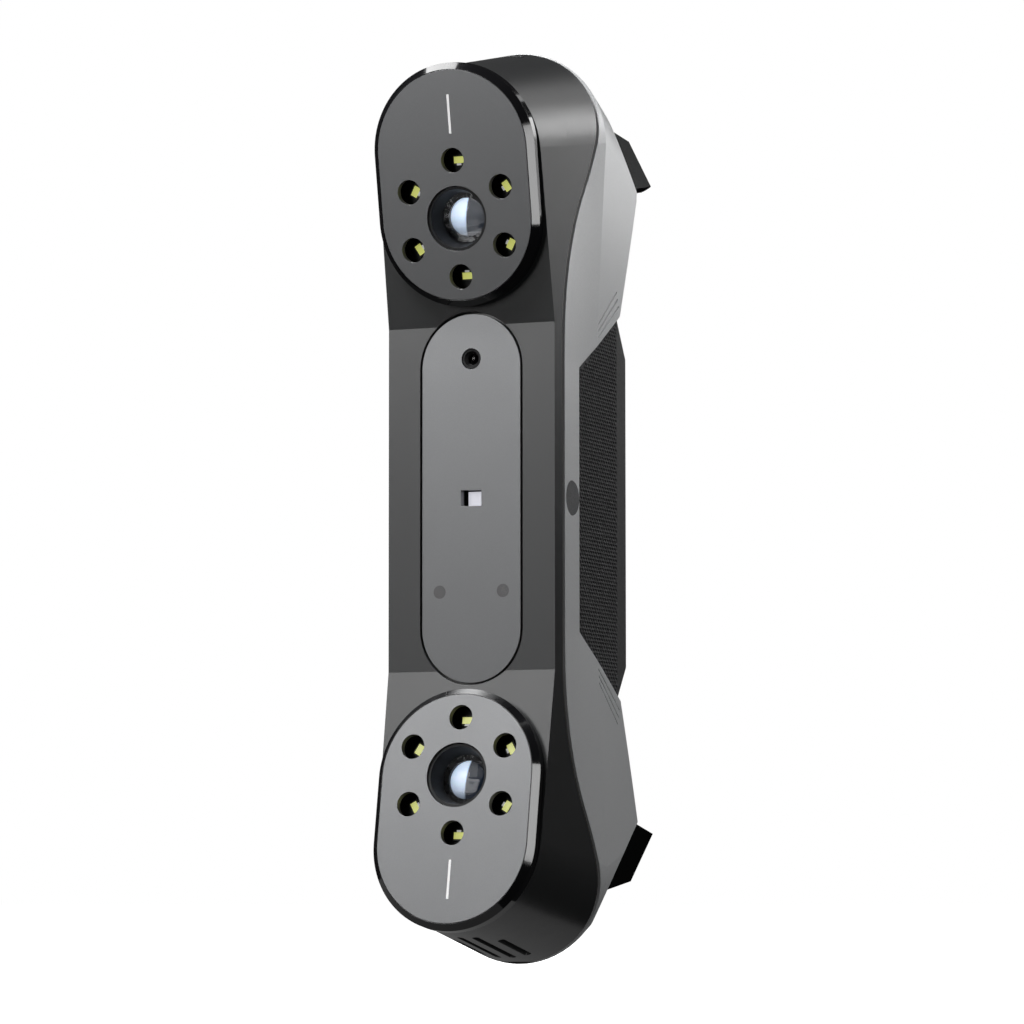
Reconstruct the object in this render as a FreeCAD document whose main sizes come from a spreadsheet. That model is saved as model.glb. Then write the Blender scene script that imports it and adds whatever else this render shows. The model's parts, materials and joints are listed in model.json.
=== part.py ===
import FreeCAD, Part
import math
import os

import Sketcher

# A handheld structured-light scanner, held upright: +Z runs along its length, the two camera heads
# look towards -Y, the hand grip and the rest feet are on the +Y side.
# The origin is the middle of the whole scanner. Lengths are in millimetres, angles in degrees.
# "Depth" is measured backwards from the front plate's surface.

SIZES = [
    # the whole scanner
    ("overall_length", 203.0),
    ("overall_depth", 77.0),
    ("toe_in", 10.0),
    ("end_reach", 63.75),
    ("wall", 2.0),
    ("front_wall", 2.6),
    ("fit_clearance", 0.15),
    ("loose_clearance", 0.3),
    # front shell: it widens from the nose to the rim, where it meets the rear shell
    ("nose_reach", 14.0),
    ("nose_step", 0.05),
    ("nose_along", 35.95),
    ("rim_flare", 2.18),
    ("rim_depth", 24.8),
    ("rim_waist_depth", 4.8),
    ("rim_waist_inset", 2.75),
    ("rim_chamfer", 1.1),
    # rear shell: three outlines, joined by straight walls
    ("back_step", 0.8),
    ("back_front_along", 38.25),
    ("back_waist_width", 37.6),
    ("back_waist_inset", 7.75),
    ("back_width", 34.6),
    ("back_along", 35.85),
    ("back_waist_rear_width", 32.0),
    ("head_back_depth", 51.6),
    ("notch_along", 32.75),
    ("groove_width", 0.45),
    ("groove_pitch", 1.5),
    ("groove_depth", 0.35),
    ("groove_start", 0.42),
    # hand grip, an elastomer sleeve over the handle's core
    ("grip_thickness", 2.2),
    ("grip_front_depth", 14.0),
    ("grip_front_width", 38.6),
    ("grip_front_inset", 8.75),
    ("grip_crease_depth", 41.0),
    ("grip_crease_width", 33.8),
    ("grip_crease_along", 5.45),
    ("grip_back_depth", 56.4),
    ("grip_back_width", 25.2),
    ("grip_back_inset", 2.95),
    ("grip_corner", 3.2),
    ("grip_end_corner", 1.2),
    ("grip_lip", 3.0),
    ("passage_depth", 30.0),
    ("passage_margin", 1.4),
    # camera heads: a raised bezel, a face plate in it, and what is behind the plate
    ("head_lens_along", 23.65),
    ("head_straight", 14.6),
    ("head_proud", 3.4),
    ("bezel_radius", 19.27),
    ("bezel_chamfer", 1.35),
    ("bezel_rim", 1.4),
    ("spigot_step", 2.27),
    ("spigot_clearance", 0.1),
    ("face_plate_ledge", 1.6),
    ("face_plate_thickness", 1.5),
    ("face_plate_gap", 0.12),
    ("light_hole_radius", 2.72),
    ("light_ring_radius", 12.68),
    ("light_board_depth", 4.2),
    ("light_board_ledge", 0.55),
    ("light_board_thickness", 1.0),
    ("light_board_gap", 0.55),
    ("light_length", 3.0),
    ("light_width", 2.2),
    ("light_height", 0.7),
    ("phosphor_length", 2.3),
    ("phosphor_width", 1.45),
    ("phosphor_height", 0.15),
    ("mark_start", 18.54),
    ("mark_length", 8.5),
    ("mark_width", 0.55),
    ("mark_depth", 0.4),
    ("barrel_radius", 6.95),
    ("barrel_recess", 0.5),
    ("barrel_length", 8.5),
    ("barrel_stem_radius", 5.9),
    ("barrel_stem_length", 6.0),
    ("barrel_rim", 0.55),
    ("barrel_mouth_depth", 4.1),
    ("barrel_bore_radius", 4.0),
    ("lens_radius", 5.4),
    ("lens_rim_thickness", 1.6),
    ("lens_crown", 1.3),
    ("holder_size", 16.0),
    ("holder_depth", 9.2),
    ("holder_flange_size", 24.0),
    ("holder_flange_thickness", 1.5),
    ("holder_screw_inset", 2.0),
    ("sensor_size", 8.0),
    ("sensor_thickness", 1.0),
    ("sensor_board_size", 21.0),
    ("board_thickness", 1.2),
    ("ribbon_width", 7.0),
    ("ribbon_thickness", 0.3),
    ("ribbon_lap", 5.0),
    # optical frame: the bent metal plate that holds both cameras in line
    ("frame_depth", 9.1),
    ("frame_thickness", 2.5),
    ("frame_along", 46.0),
    ("frame_width", 28.0),
    ("frame_waist_width", 21.0),
    ("frame_waist_inset", 5.75),
    # front plate and what looks through it
    ("plate_width", 23.6),
    ("plate_length", 80.6),
    ("plate_thickness", 1.5),
    ("plate_gap", 0.55),
    ("window_width", 4.9),
    ("window_height", 3.5),
    ("projector_lens_width", 3.4),
    ("projector_lens_height", 3.0),
    ("projector_lens_depth", 2.3),
    ("projector_lens_thickness", 1.6),
    ("projector_width", 15.0),
    ("projector_height", 19.0),
    ("projector_depth", 16.0),
    ("colour_camera_z", 30.5),
    ("colour_camera_radius", 2.3),
    ("colour_lens_radius", 1.25),
    ("colour_lens_crown", 0.35),
    ("colour_lens_thickness", 0.9),
    ("colour_barrel_recess", 0.3),
    ("colour_barrel_cone", 0.8),
    ("colour_barrel_rim", 0.4),
    ("infrared_x", 7.6),
    ("infrared_z", 20.4),
    ("infrared_radius", 1.45),
    ("emitter_radius", 1.4),
    ("front_board_depth", 6.6),
    ("front_board_width", 19.0),
    ("front_board_top", 37.0),
    ("front_board_bottom", 25.0),
    # main board, its cooler and the socket on the top end
    ("main_board_depth", 24.0),
    ("main_board_width", 26.0),
    ("main_board_length", 74.0),
    ("main_board_thickness", 1.6),
    ("board_hole_x", 8.5),
    ("board_hole_z", 29.0),
    ("standoff_radius", 2.2),
    ("chip_size", 15.0),
    ("chip_height", 1.2),
    ("memory_width", 9.0),
    ("memory_height", 7.7),
    ("store_height", 11.0),
    ("chip_spacing", 1.0),
    ("memory_x", 5.5),
    ("cooler_width", 22.0),
    ("cooler_length", 30.0),
    ("cooler_base", 2.0),
    ("cooler_height", 9.0),
    ("fin_gap", 1.6),
    ("socket_depth", 17.6),
    ("socket_width", 8.94),
    ("socket_height", 3.26),
    ("socket_length", 7.3),
    ("socket_wall", 0.3),
    ("socket_recess", 1.6),
    ("socket_cut_margin", 0.35),
    ("socket_floor", 1.0),
    ("socket_board_gap", 1.2),
    ("socket_board_width", 13.0),
    ("socket_board_length", 11.3),
    ("tongue_width", 6.6),
    ("tongue_height", 0.7),
    ("vent_width", 1.6),
    ("vent_pitch", 3.6),
    ("vent_long", 19.0),
    ("vent_short", 13.5),
    ("vent_depth", 8.0),
    # screws
    ("screw_radius", 1.25),
    ("screw_head_radius", 2.3),
    ("screw_head_height", 1.6),
    ("screw_x", 5.0),
    ("screw_along", 42.25),
    ("screw_length", 14.0),
    ("post_radius", 3.6),
    ("post_floor", 40.0),
    ("post_sink", 1.0),
    ("pillar_wall", 1.95),
    ("small_screw_radius", 0.8),
    ("small_head_radius", 1.5),
    ("small_head_height", 0.9),
    ("board_screw_length", 6.0),
    ("panel_screw_bite", 3.5),
    # rest feet
    ("foot_thickness", 2.7),
    ("foot_x", 11.9),
    ("upper_foot_along", 42.65),
    ("lower_foot_along", 39.45),
    ("foot_lean", 27.0),
    ("foot_top_length", 11.8),
    ("foot_base_length", 16.6),
    ("foot_chamfer", 0.7),
    ("corner_slope", 0.4),
    # tripod socket under its rubber plug
    ("tripod_depth", 9.4),
    ("tripod_plug_radius", 3.8),
    ("tripod_plug_thickness", 1.7),
    ("tripod_plug_clearance", 0.05),
    ("tripod_thread_radius", 3.175),
    ("tripod_insert_radius", 4.4),
    ("tripod_insert_length", 6.4),
    ("tripod_boss_radius", 5.7),
    # control panel on the back of the grip
    ("panel_width", 15.0),
    ("panel_length", 60.0),
    ("panel_ledge", 1.3),
    ("panel_proud", 0.3),
    ("button_proud", 0.9),
    ("button_travel", 0.6),
    ("button_clearance", 0.15),
    ("button_flange", 0.7),
    ("button_flange_height", 0.8),
    ("scan_radius", 4.6),
    ("step_radius", 3.2),
    ("step_z", 12.0),
    ("mode_radius", 2.4),
    ("mode_z", 20.0),
    ("status_z", 20.0),
    ("status_length", 4.6),
    ("status_width", 1.4),
    ("button_board_depth", 48.0),
    ("button_board_width", 11.0),
    ("panel_screw_z", 26.7),
    ("panel_post_radius", 1.7),
    ("button_stem_radius", 1.2),
    ("button_edge", 0.4),
    ("switch_size", 3.6),
    ("switch_gap", 0.05),
]


GROOVES = 3
LIGHTS = 6
VENTS = 4
FINS = 8
BEYOND = 10     # how far a cutting tool reaches past what it cuts


class Dim:
    """A number worked out from the sheet, kept together with the expression that binds it."""

    def __init__(self, number, text):
        self.number = number
        self.text = text

    @staticmethod
    def of(value):
        if isinstance(value, Dim):
            return value
        return Dim(float(value), f"({float(value)})")

    def __add__(self, other):
        other = Dim.of(other)
        return Dim(self.number + other.number, f"({self.text} + {other.text})")

    def __sub__(self, other):
        other = Dim.of(other)
        return Dim(self.number - other.number, f"({self.text} - {other.text})")

    def __mul__(self, other):
        other = Dim.of(other)
        return Dim(self.number * other.number, f"({self.text} * {other.text})")

    def __truediv__(self, other):
        other = Dim.of(other)
        return Dim(self.number / other.number, f"({self.text} / {other.text})")

    def __radd__(self, other):
        return Dim.of(other) + self

    def __rsub__(self, other):
        return Dim.of(other) - self

    def __rmul__(self, other):
        return Dim.of(other) * self

    def __neg__(self):
        return Dim(-self.number, f"(0 - {self.text})")


def sine(angle):
    angle = Dim.of(angle)
    return Dim(math.sin(math.radians(angle.number)), f"sin({angle.text})")


def cosine(angle):
    angle = Dim.of(angle)
    return Dim(math.cos(math.radians(angle.number)), f"cos({angle.text})")


def tangent(angle):
    angle = Dim.of(angle)
    return Dim(math.tan(math.radians(angle.number)), f"tan({angle.text})")


def root(value):
    return Dim(math.sqrt(value.number), f"sqrt({value.text})")


doc = FreeCAD.newDocument("handheld_scanner")
sheet = doc.addObject("Spreadsheet::Sheet", "sizes")
for row, (alias, value) in enumerate(SIZES, start=1):
    sheet.set(f"A{row}", alias)
    sheet.set(f"B{row}", str(value))
    sheet.setAlias(f"B{row}", alias)
doc.recompute()


class Sheet:
    """The driving dimensions by name, so that s.wall is the cell with the alias wall."""

    def __init__(self, rows):
        for alias, value in rows:
            setattr(self, alias, Dim(value, f"sizes.{alias}"))


s = Sheet(SIZES)
nodes = {}
cuts = []


# ---- places -------------------------------------------------------------------------------------

class Frame:
    """A place to build in: an origin and a turn about the X axis."""

    def __init__(self, x, y, z, angle):
        self.x, self.y, self.z = Dim.of(x), Dim.of(y), Dim.of(z)
        self.angle = Dim.of(angle)

    def at(self, x, y, z, turn=0):
        """The same directions with the origin at a point of this frame, turned further about X."""
        x, y, z = Dim.of(x), Dim.of(y), Dim.of(z)
        across, up = cosine(self.angle), sine(self.angle)
        return Frame(
            self.x + x,
            self.y + y * across - z * up,
            self.z + y * up + z * across,
            self.angle + turn,
        )

    def hold(self, item):
        """Put an object in this frame."""
        turn = f"rotation(vector(1; 0; 0); {self.angle.text})"
        corner = f"vector({self.x.text}; {self.y.text}; {self.z.text})"
        item.setExpression("Placement", f"placement({corner}; {turn})")
        return item


# widths and radii that follow from the pieces they fit
nose_width = (s.bezel_radius - s.nose_step) * 2
rim_width = nose_width + s.rim_flare * 2
back_front_width = rim_width - s.back_step * 2
spigot_radius = s.bezel_radius - s.spigot_step
face_plate_radius = s.bezel_radius - s.bezel_rim - s.face_plate_gap
light_board_radius = face_plate_radius - s.face_plate_ledge
bezel_bore = light_board_radius - s.light_board_ledge
lens_hole_radius = s.barrel_radius + s.fit_clearance
light_board_bore = s.barrel_radius + s.light_board_gap
barrel_mouth_radius = s.barrel_radius - s.barrel_rim

head_tip = s.head_lens_along + s.head_straight + s.bezel_radius - s.bezel_chamfer
reach = head_tip * sine(s.toe_in) + s.head_proud * cosine(s.toe_in)
half_length = s.overall_length / 2
# the waist takes up the overall length that the heads leave
half_waist = half_length - s.end_reach
nose_centre = half_waist + s.nose_along
back_front_centre = half_waist + s.back_front_along
back_centre = half_waist + s.back_along
notch_end = half_waist + s.notch_along
grip_front_end = half_waist - s.grip_front_inset
grip_crease_end = half_waist + s.grip_crease_along
grip_back_end = half_waist - s.grip_back_inset
screw_z = half_waist + s.screw_along

# y = 0 in this frame is the surface of the front plate
face = Frame(0, reach - s.overall_depth / 2, 0, 0)
feet_depth = s.overall_depth - reach


def head_frame(side):
    """Origin at the lens centre on the face plate; +Z looks outwards, +Y runs up along the head."""
    lens_y = s.head_lens_along * sine(s.toe_in) + s.head_proud * cosine(s.toe_in)
    lens_z = half_waist + s.head_lens_along * cosine(s.toe_in) - s.head_proud * sine(s.toe_in)
    lens = face.at(0, -lens_y, side * lens_z)
    return Frame(lens.x, lens.y, lens.z, 90 + side * s.toe_in)


HEADS = {"upper": 1, "lower": -1}


# ---- drawing ------------------------------------------------------------------------------------

def arc(end, centre, turn):
    """A round step of an outline: turn is 1 for anticlockwise and -1 for clockwise."""
    return ("arc", end, centre, turn)


def circle(x, y, radius):
    return ("circle", (x, y), radius)


def end_of(step):
    return step[1] if step[0] == "arc" else step


def vector(point):
    return FreeCAD.Vector(Dim.of(point[0]).number, Dim.of(point[1]).number, 0)


def fix(sketch, kind, element, place, value, name):
    """Fix one coordinate or radius of a sketch and bind it to the sheet."""
    value = Dim.of(value)
    if kind == "Radius":
        index = sketch.addConstraint(Sketcher.Constraint(kind, element, value.number))
    else:
        rule = Sketcher.Constraint(kind, -1, 1, element, place, value.number)
        index = sketch.addConstraint(rule)
    sketch.renameConstraint(index, name)
    if "sizes" in value.text:
        sketch.setExpression(f"Constraints.{name}", value.text)


def draw_circle(sketch, shape, tag):
    _, centre, radius = shape
    number = Dim.of(radius).number
    element = sketch.addGeometry(Part.Circle(vector(centre), FreeCAD.Vector(0, 0, 1), number), False)
    fix(sketch, "DistanceX", element, 3, centre[0], f"{tag}_centre_x")
    fix(sketch, "DistanceY", element, 3, centre[1], f"{tag}_centre_y")
    fix(sketch, "Radius", element, 0, radius, f"{tag}_radius")


def draw_path(sketch, path, tag):
    """Draw a closed outline of straight and round steps, with each corner bound to the sheet."""
    ends = []
    for number, step in enumerate(path):
        start = vector(end_of(path[number - 1]))
        finish = vector(end_of(step))
        if step[0] != "arc":
            element = sketch.addGeometry(Part.LineSegment(start, finish), False)
            ends.append((element, 1, 2))
            continue
        _, _, centre, turn = step
        middle = vector(centre)
        first, last = (start, finish) if turn > 0 else (finish, start)
        low = math.atan2(first.y - middle.y, first.x - middle.x)
        high = math.atan2(last.y - middle.y, last.x - middle.x)
        ring = Part.Circle(middle, FreeCAD.Vector(0, 0, 1), (first - middle).Length)
        element = sketch.addGeometry(Part.ArcOfCircle(ring, low, high), False)
        ends.append((element, 1, 2) if turn > 0 else (element, 2, 1))
        chord = finish - start
        if abs(chord.x) > abs(chord.y):
            fix(sketch, "DistanceY", element, 3, centre[1], f"{tag}_bend_{number}_y")
        else:
            fix(sketch, "DistanceX", element, 3, centre[0], f"{tag}_bend_{number}_x")
    for number, (element, first, last) in enumerate(ends):
        before = ends[number - 1]
        sketch.addConstraint(Sketcher.Constraint("Coincident", before[0], before[2], element, first))
        corner = end_of(path[number - 1])
        fix(sketch, "DistanceX", element, first, corner[0], f"{tag}_corner_{number}_x")
        fix(sketch, "DistanceY", element, first, corner[1], f"{tag}_corner_{number}_y")


def draw(body, plane, offset, shapes):
    """A sketch on one of the body's own planes, moved to offset along that plane's world axis."""
    sketch = body.newObject("Sketcher::SketchObject", f"{body.Name}_sketch")
    for feature in body.Origin.OriginFeatures:
        if feature.Role == f"{plane}_Plane":
            sketch.AttachmentSupport = [(feature, "")]
    sketch.MapMode = "FlatFace"
    along = -Dim.of(offset) if plane == "XZ" else Dim.of(offset)
    sketch.setExpression("AttachmentOffset.Base.z", along.text)
    for number, shape in enumerate(shapes):
        if shape[0] == "circle":
            draw_circle(sketch, shape, f"ring_{number}")
        else:
            draw_path(sketch, shape, f"line_{number}")
    return sketch


def new_body(name, frame):
    body = doc.addObject("PartDesign::Body", name)
    return frame.hold(body)


def pad(body, plane, low, thickness, shapes):
    """Add material from low to low + thickness along the plane's world axis."""
    start = low + thickness if plane == "XZ" else low
    feature = body.newObject("PartDesign::Pad", f"{body.Name}_pad")
    feature.Profile = draw(body, plane, start, shapes)
    feature.setExpression("Length", Dim.of(thickness).text)
    return feature


def pocket(body, plane, low, thickness, shapes):
    """Take material away from low to low + thickness along the plane's world axis."""
    start = low if plane == "XZ" else low + thickness
    before = body.Tip
    feature = body.newObject("PartDesign::Pocket", f"{body.Name}_pocket")
    feature.Profile = draw(body, plane, start, shapes)
    feature.setExpression("Length", Dim.of(thickness).text)
    cuts.append((before, feature))
    return feature


def revolve(body, shapes):
    """Turn a half outline, drawn on the XZ plane, all the way round the body's Z axis."""
    sketch = draw(body, "XZ", 0, shapes)
    feature = body.newObject("PartDesign::Revolution", f"{body.Name}_turned")
    feature.Profile = sketch
    feature.ReferenceAxis = (sketch, ["V_Axis"])
    feature.Angle = 360
    return feature


def slab(name, frame, plane, low, thickness, *shapes):
    body = new_body(name, frame)
    pad(body, plane, low, thickness, shapes)
    return body


def loft(body, sections):
    """Join outlines on the XZ plane, each given as (depth, path), with straight walls."""
    sketches = [draw(body, "XZ", depth, [path]) for depth, path in sections]
    feature = body.newObject("PartDesign::AdditiveLoft", f"{body.Name}_loft")
    feature.Profile = sketches[0]
    feature.Sections = sketches[1:]
    feature.Ruled = True
    return feature


def block(name, frame, low, size):
    """A plain rectangular piece from its low corner and its three sizes."""
    box = doc.addObject("Part::Box", name)
    for side, value in zip(("Length", "Width", "Height"), size):
        box.setExpression(side, Dim.of(value).text)
    return frame.at(*low).hold(box)


def rod(name, frame, low, radius, length, turn=0):
    """A round piece along the frame's Z axis, or along its Y axis when turned by -90."""
    cylinder = doc.addObject("Part::Cylinder", name)
    cylinder.setExpression("Radius", Dim.of(radius).text)
    cylinder.setExpression("Height", Dim.of(length).text)
    return frame.at(*low, turn=turn).hold(cylinder)


def combine(kind, name, pieces):
    """Part::MultiFuse, Part::MultiCommon or Part::Compound of several pieces."""
    feature = doc.addObject(kind, name)
    if kind == "Part::Compound":
        feature.Links = pieces
    else:
        feature.Shapes = pieces
    return feature


def cut(name, base, tool):
    feature = doc.addObject("Part::Cut", name)
    feature.Base = base
    feature.Tool = tool
    cuts.append((base, feature))
    return feature


def keep(label, feature):
    """Make a feature one of the scanner's pieces, under its own name."""
    feature.Label = label
    nodes[label] = feature
    return feature


# ---- outlines -----------------------------------------------------------------------------------

def rectangle(x_low, y_low, x_high, y_high):
    return [(x_low, y_low), (x_high, y_low), (x_high, y_high), (x_low, y_high)]


def stadium(radius, low, high):
    """A slot shape whose round ends are centred at x = 0, y = low and y = high."""
    return [
        (radius, high),
        arc((-radius, high), (0, high), 1),
        (-radius, low),
        arc((radius, low), (0, low), 1),
    ]


def head_outline(side, radius):
    """The head's slot shape in its own frame, reaching away from the scanner's middle."""
    if side > 0:
        return stadium(radius, 0, s.head_straight)
    return stadium(radius, -s.head_straight, 0)


def mirrored(points):
    """Close a right-hand run of (x, y) points with its mirror image across x = 0."""
    return points + [(-x, y) for x, y in reversed(points)]


def mirrored_ends(points):
    """Close an upper run of (y, z) points with its mirror image across z = 0."""
    return points + [(y, -z) for y, z in reversed(points)]


def mitre(before, corner, after, distance):
    """The corner moved to the left of the path by distance, square to both of its sides."""
    normals = []
    for (x_a, y_a), (x_b, y_b) in ((before, corner), (corner, after)):
        run, rise = Dim.of(x_b) - x_a, Dim.of(y_b) - y_a
        length = root(run * run + rise * rise)
        normals.append((-rise / length, run / length))
    (x_one, y_one), (x_two, y_two) = normals
    share = distance / (1 + x_one * x_two + y_one * y_two)
    return (corner[0] + (x_one + x_two) * share, corner[1] + (y_one + y_two) * share)


def toward(start, end, distance):
    """The point at a distance from start on the straight line to end."""
    run, rise = Dim.of(end[0]) - start[0], Dim.of(end[1]) - start[1]
    share = distance / root(run * run + rise * rise)
    return (start[0] + run * share, start[1] + rise * share)


# ---- the two shells -----------------------------------------------------------------------------

far_end = half_length + BEYOND
front_limit = -s.nose_reach - BEYOND
back_limit = s.head_back_depth + BEYOND * 2
rim_centre = half_length - rim_width / 2


def front_plane(depth):
    """The outline of the front faces at a depth behind them: flat waist, heads leaning forward."""
    bend = half_waist + depth * tangent(s.toe_in / 2)
    lean = (far_end - bend) * tangent(s.toe_in)
    return [(depth - lean, far_end), (depth, bend), (depth, -bend), (depth - lean, -far_end)]


def rim_line():
    """The line where the shells meet, seen from the side: flat waist, S-bends, flat ends."""
    flat = half_waist - s.rim_waist_inset
    run, rise = (half_length - flat) / 2, (s.rim_depth - s.rim_waist_depth) / 2
    bend = (run * run + rise * rise) / (rise * 2)
    low, mid, high = s.rim_waist_depth, s.rim_waist_depth + rise, s.rim_depth
    return [
        (high, far_end),
        (high, half_length),
        arc((mid, flat + run), (high - bend, half_length), -1),
        arc((low, flat), (low + bend, flat), 1),
        (low, -flat),
        arc((mid, -flat - run), (low + bend, -flat), 1),
        arc((high, -half_length), (high - bend, -half_length), -1),
        (high, -far_end),
    ]


def across(body, shapes):
    """Cut a side-view outline right through a body, across its whole width."""
    return pocket(body, "YZ", -rim_width, rim_width * 2, shapes)


def front_volume(name, inset, depth):
    """The front shell's outside, or its hollow when inset, ahead of the rim's deepest point."""
    body = new_body(name, face)
    nose = stadium(nose_width / 2 - inset, -nose_centre, nose_centre)
    rim = stadium(rim_width / 2 - inset, -rim_centre, rim_centre)
    loft(body, [(-s.nose_reach, nose), (s.rim_depth, rim)])
    ahead = [(front_limit, -far_end), (front_limit, far_end)]
    across(body, [front_plane(depth) + ahead])
    return body


def back_outline(width, waist_width, centre, inset):
    """A back shell outline: round ends, and sides that draw in to a narrower waist."""
    radius, waist, flat = width / 2 - inset, waist_width / 2 - inset, half_waist - s.back_waist_inset
    return [
        (waist, flat),
        (radius, centre),
        arc((-radius, centre), (0, centre), 1),
        (-waist, flat),
        (-waist, -flat),
        (-radius, -centre),
        arc((radius, -centre), (0, -centre), 1),
        (waist, -flat),
    ]


grip_section = [
    (s.grip_front_width / 2, s.grip_front_depth),
    (s.grip_crease_width / 2, s.grip_crease_depth),
    (s.grip_back_width / 2, s.grip_back_depth),
]
grip_side = [
    (s.grip_front_depth, grip_front_end),
    (s.grip_crease_depth, grip_crease_end),
    (s.grip_back_depth, grip_back_end),
]
notch_corner = (s.head_back_depth, notch_end)


def back_volume(name, inset, wall):
    """The back shell outside the grip, or its hollow when inset and set a wall away from the grip."""
    body = new_body(name, face)
    front = back_outline(back_front_width, back_front_width, back_front_centre, inset)
    rim = back_outline(rim_width, s.back_waist_width, rim_centre, inset)
    back = back_outline(s.back_width, s.back_waist_rear_width, back_centre, inset)
    loft(body, [(0, front), (s.rim_depth, rim), (s.head_back_depth - wall, back)])
    if wall.number == 0:
        notch = [notch_corner, grip_side[1], grip_side[0]]
        top = notch_end
    else:
        below = (s.grip_front_depth, -grip_front_end)
        beyond = (s.head_back_depth, far_end)
        notch = [
            mitre(beyond, notch_corner, grip_side[1], -wall),
            mitre(notch_corner, grip_side[1], grip_side[0], -wall),
            mitre(grip_side[1], grip_side[0], below, -wall),
        ]
        top = notch[0][1]
    outer = [(back_limit, top)] + notch
    across(body, [mirrored_ends(outer)])
    return body


def handle_core(name, inset):
    """The handle's core under the grip, or its hollow when inset by a further wall."""
    middle = (0, s.grip_front_depth)
    front = mitre(grip_section[1], grip_section[0], middle, -inset)
    crease = mitre(grip_section[2], grip_section[1], grip_section[0], -inset)
    below = (-s.grip_back_width / 2, s.grip_back_depth)
    back = mitre(below, grip_section[2], grip_section[1], -inset)
    hollow = inset.number > s.grip_thickness.number
    start = Dim.of(0) if hollow else s.grip_front_depth - s.wall
    section = [(front[0], start), front, crease, back]
    body = new_body(name, face)
    pad(body, "XY", -grip_crease_end * 2, grip_crease_end * 4, [mirrored(section)])
    lip = toward(grip_side[1], grip_side[0], s.grip_lip)
    below = (s.grip_back_depth, -grip_back_end)
    rear = mitre(grip_side[1], grip_side[2], below, -s.grip_thickness)
    if hollow:
        inner = mitre(grip_side[0], lip, rear, -s.wall)
        last = mitre(lip, rear, (rear[0], -rear[1]), -s.wall)
        passage = grip_crease_end + s.passage_margin
        side = [(start, passage), (s.passage_depth, passage), inner, last]
    else:
        side = [(start, grip_side[0][1]), grip_side[0], lip, rear]
    frame = rectangle(front_limit, -far_end, back_limit, far_end)
    across(body, [frame, mirrored_ends(side)])
    return body


def round_off(body, radius, test, kind="Fillet"):
    """Round or bevel the edges of a body's last feature that pass a test."""
    doc.recompute()
    base = body.Tip
    names = [f"Edge{n}" for n, edge in enumerate(base.Shape.Edges, start=1) if test(edge)]
    feature = body.newObject(f"PartDesign::{kind}", f"{body.Name}_{kind.lower()}")
    feature.Base = (base, names)
    feature.setExpression("Radius" if kind == "Fillet" else "Size", radius.text)
    return feature


def spans(edge, axis):
    """How far an edge reaches along an axis: 0 for X, 1 for Y, 2 for Z."""
    box = edge.BoundBox
    return (box.XLength, box.YLength, box.ZLength)[axis]


# front shell
front_outside = front_volume("front_outside", 0, Dim.of(0))
across(front_outside, [rim_line() + [(back_limit, -far_end), (back_limit, far_end)]])


def on_rim(edge):
    """Edges of the front shell's outside that run round its rim."""
    middle = edge.valueAt((edge.FirstParameter + edge.LastParameter) / 2)
    ends = [vertex.Point for vertex in edge.Vertexes] + [middle]
    limits = (s.rim_waist_depth.number - 0.01, s.rim_depth.number + 0.01)
    wide = all(abs(p.x) > nose_width.number / 2 or abs(p.z) > rim_centre.number for p in ends)
    return wide and all(limits[0] < p.y < limits[1] for p in ends)


round_off(front_outside, s.rim_chamfer, on_rim, "Chamfer")
front_inside = front_volume("front_inside", s.wall, s.front_wall)

front_cuts = [front_inside]
plate_radius = s.plate_width / 2
plate_centre = s.plate_length / 2 - plate_radius
front_cuts.append(slab(
    "plate_recess", face, "XZ", -1, s.plate_thickness + 1,
    stadium(plate_radius + s.plate_gap, -plate_centre, plate_centre),
))
projector_half_width = s.window_width / 2 + s.loose_clearance
projector_half_height = s.window_height / 2 + s.loose_clearance
front_cuts.append(slab(
    "front_wall_holes", face, "XZ", 0, s.front_wall + 1,
    rectangle(-projector_half_width, -projector_half_height, projector_half_width, projector_half_height),
    circle(0, s.colour_camera_z, s.colour_camera_radius + s.fit_clearance),
    circle(s.infrared_x, -s.infrared_z, s.emitter_radius + s.fit_clearance),
    circle(-s.infrared_x, -s.infrared_z, s.emitter_radius + s.fit_clearance),
))
for side_name, side in HEADS.items():
    front_cuts.append(slab(
        f"{side_name}_opening", head_frame(side), "XY", -s.head_proud - s.front_wall - 3, s.front_wall + 6,
        head_outline(side, spigot_radius + s.spigot_clearance),
    ))

# the socket's opening in the top end wall, which slopes from the nose to the rim
end_slope = math.degrees(math.atan2(
    (rim_centre + rim_width / 2 - nose_centre - nose_width / 2).number,
    (s.rim_depth + s.nose_reach).number,
))
end_rise = (s.rim_depth - s.socket_depth) * tangent(end_slope)
socket = face.at(0, s.socket_depth, half_length - end_rise - s.socket_recess, turn=end_slope)
socket_corner = s.socket_height / 2


def sideways_stadium(half_width, radius, x=0, y=0):
    """A slot shape that lies along x, with its middle at (x, y)."""
    reach_x = half_width - radius
    return [
        (x + reach_x, y - radius),
        arc((x + reach_x, y + radius), (x + reach_x, y), 1),
        (x - reach_x, y + radius),
        arc((x - reach_x, y - radius), (x - reach_x, y), 1),
    ]


front_cuts.append(slab(
    "socket_opening", socket, "XY", -s.wall * 3, s.wall * 6,
    sideways_stadium(s.socket_width / 2 + s.socket_cut_margin, socket_corner + s.socket_cut_margin),
))

# four air slots in the bottom end wall
for number in range(VENTS):
    place = number - (VENTS - 1) / 2
    length = s.vent_short if abs(place) > 1 else s.vent_long
    middle = s.vent_depth + s.vent_long / 2 - length / 2
    slot = slab(
        f"vent_{number + 1}", face.at(place * s.vent_pitch, 0, 0), "XY", -half_length - BEYOND, BEYOND * 2,
        stadium(s.vent_width / 2, middle - length / 2, middle + length / 2),
    )
    front_cuts.append(slot)

front_tool = combine("Part::MultiFuse", "front_cuts", front_cuts)
keep("front_shell", cut("front_shell", front_outside, front_tool))

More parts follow.
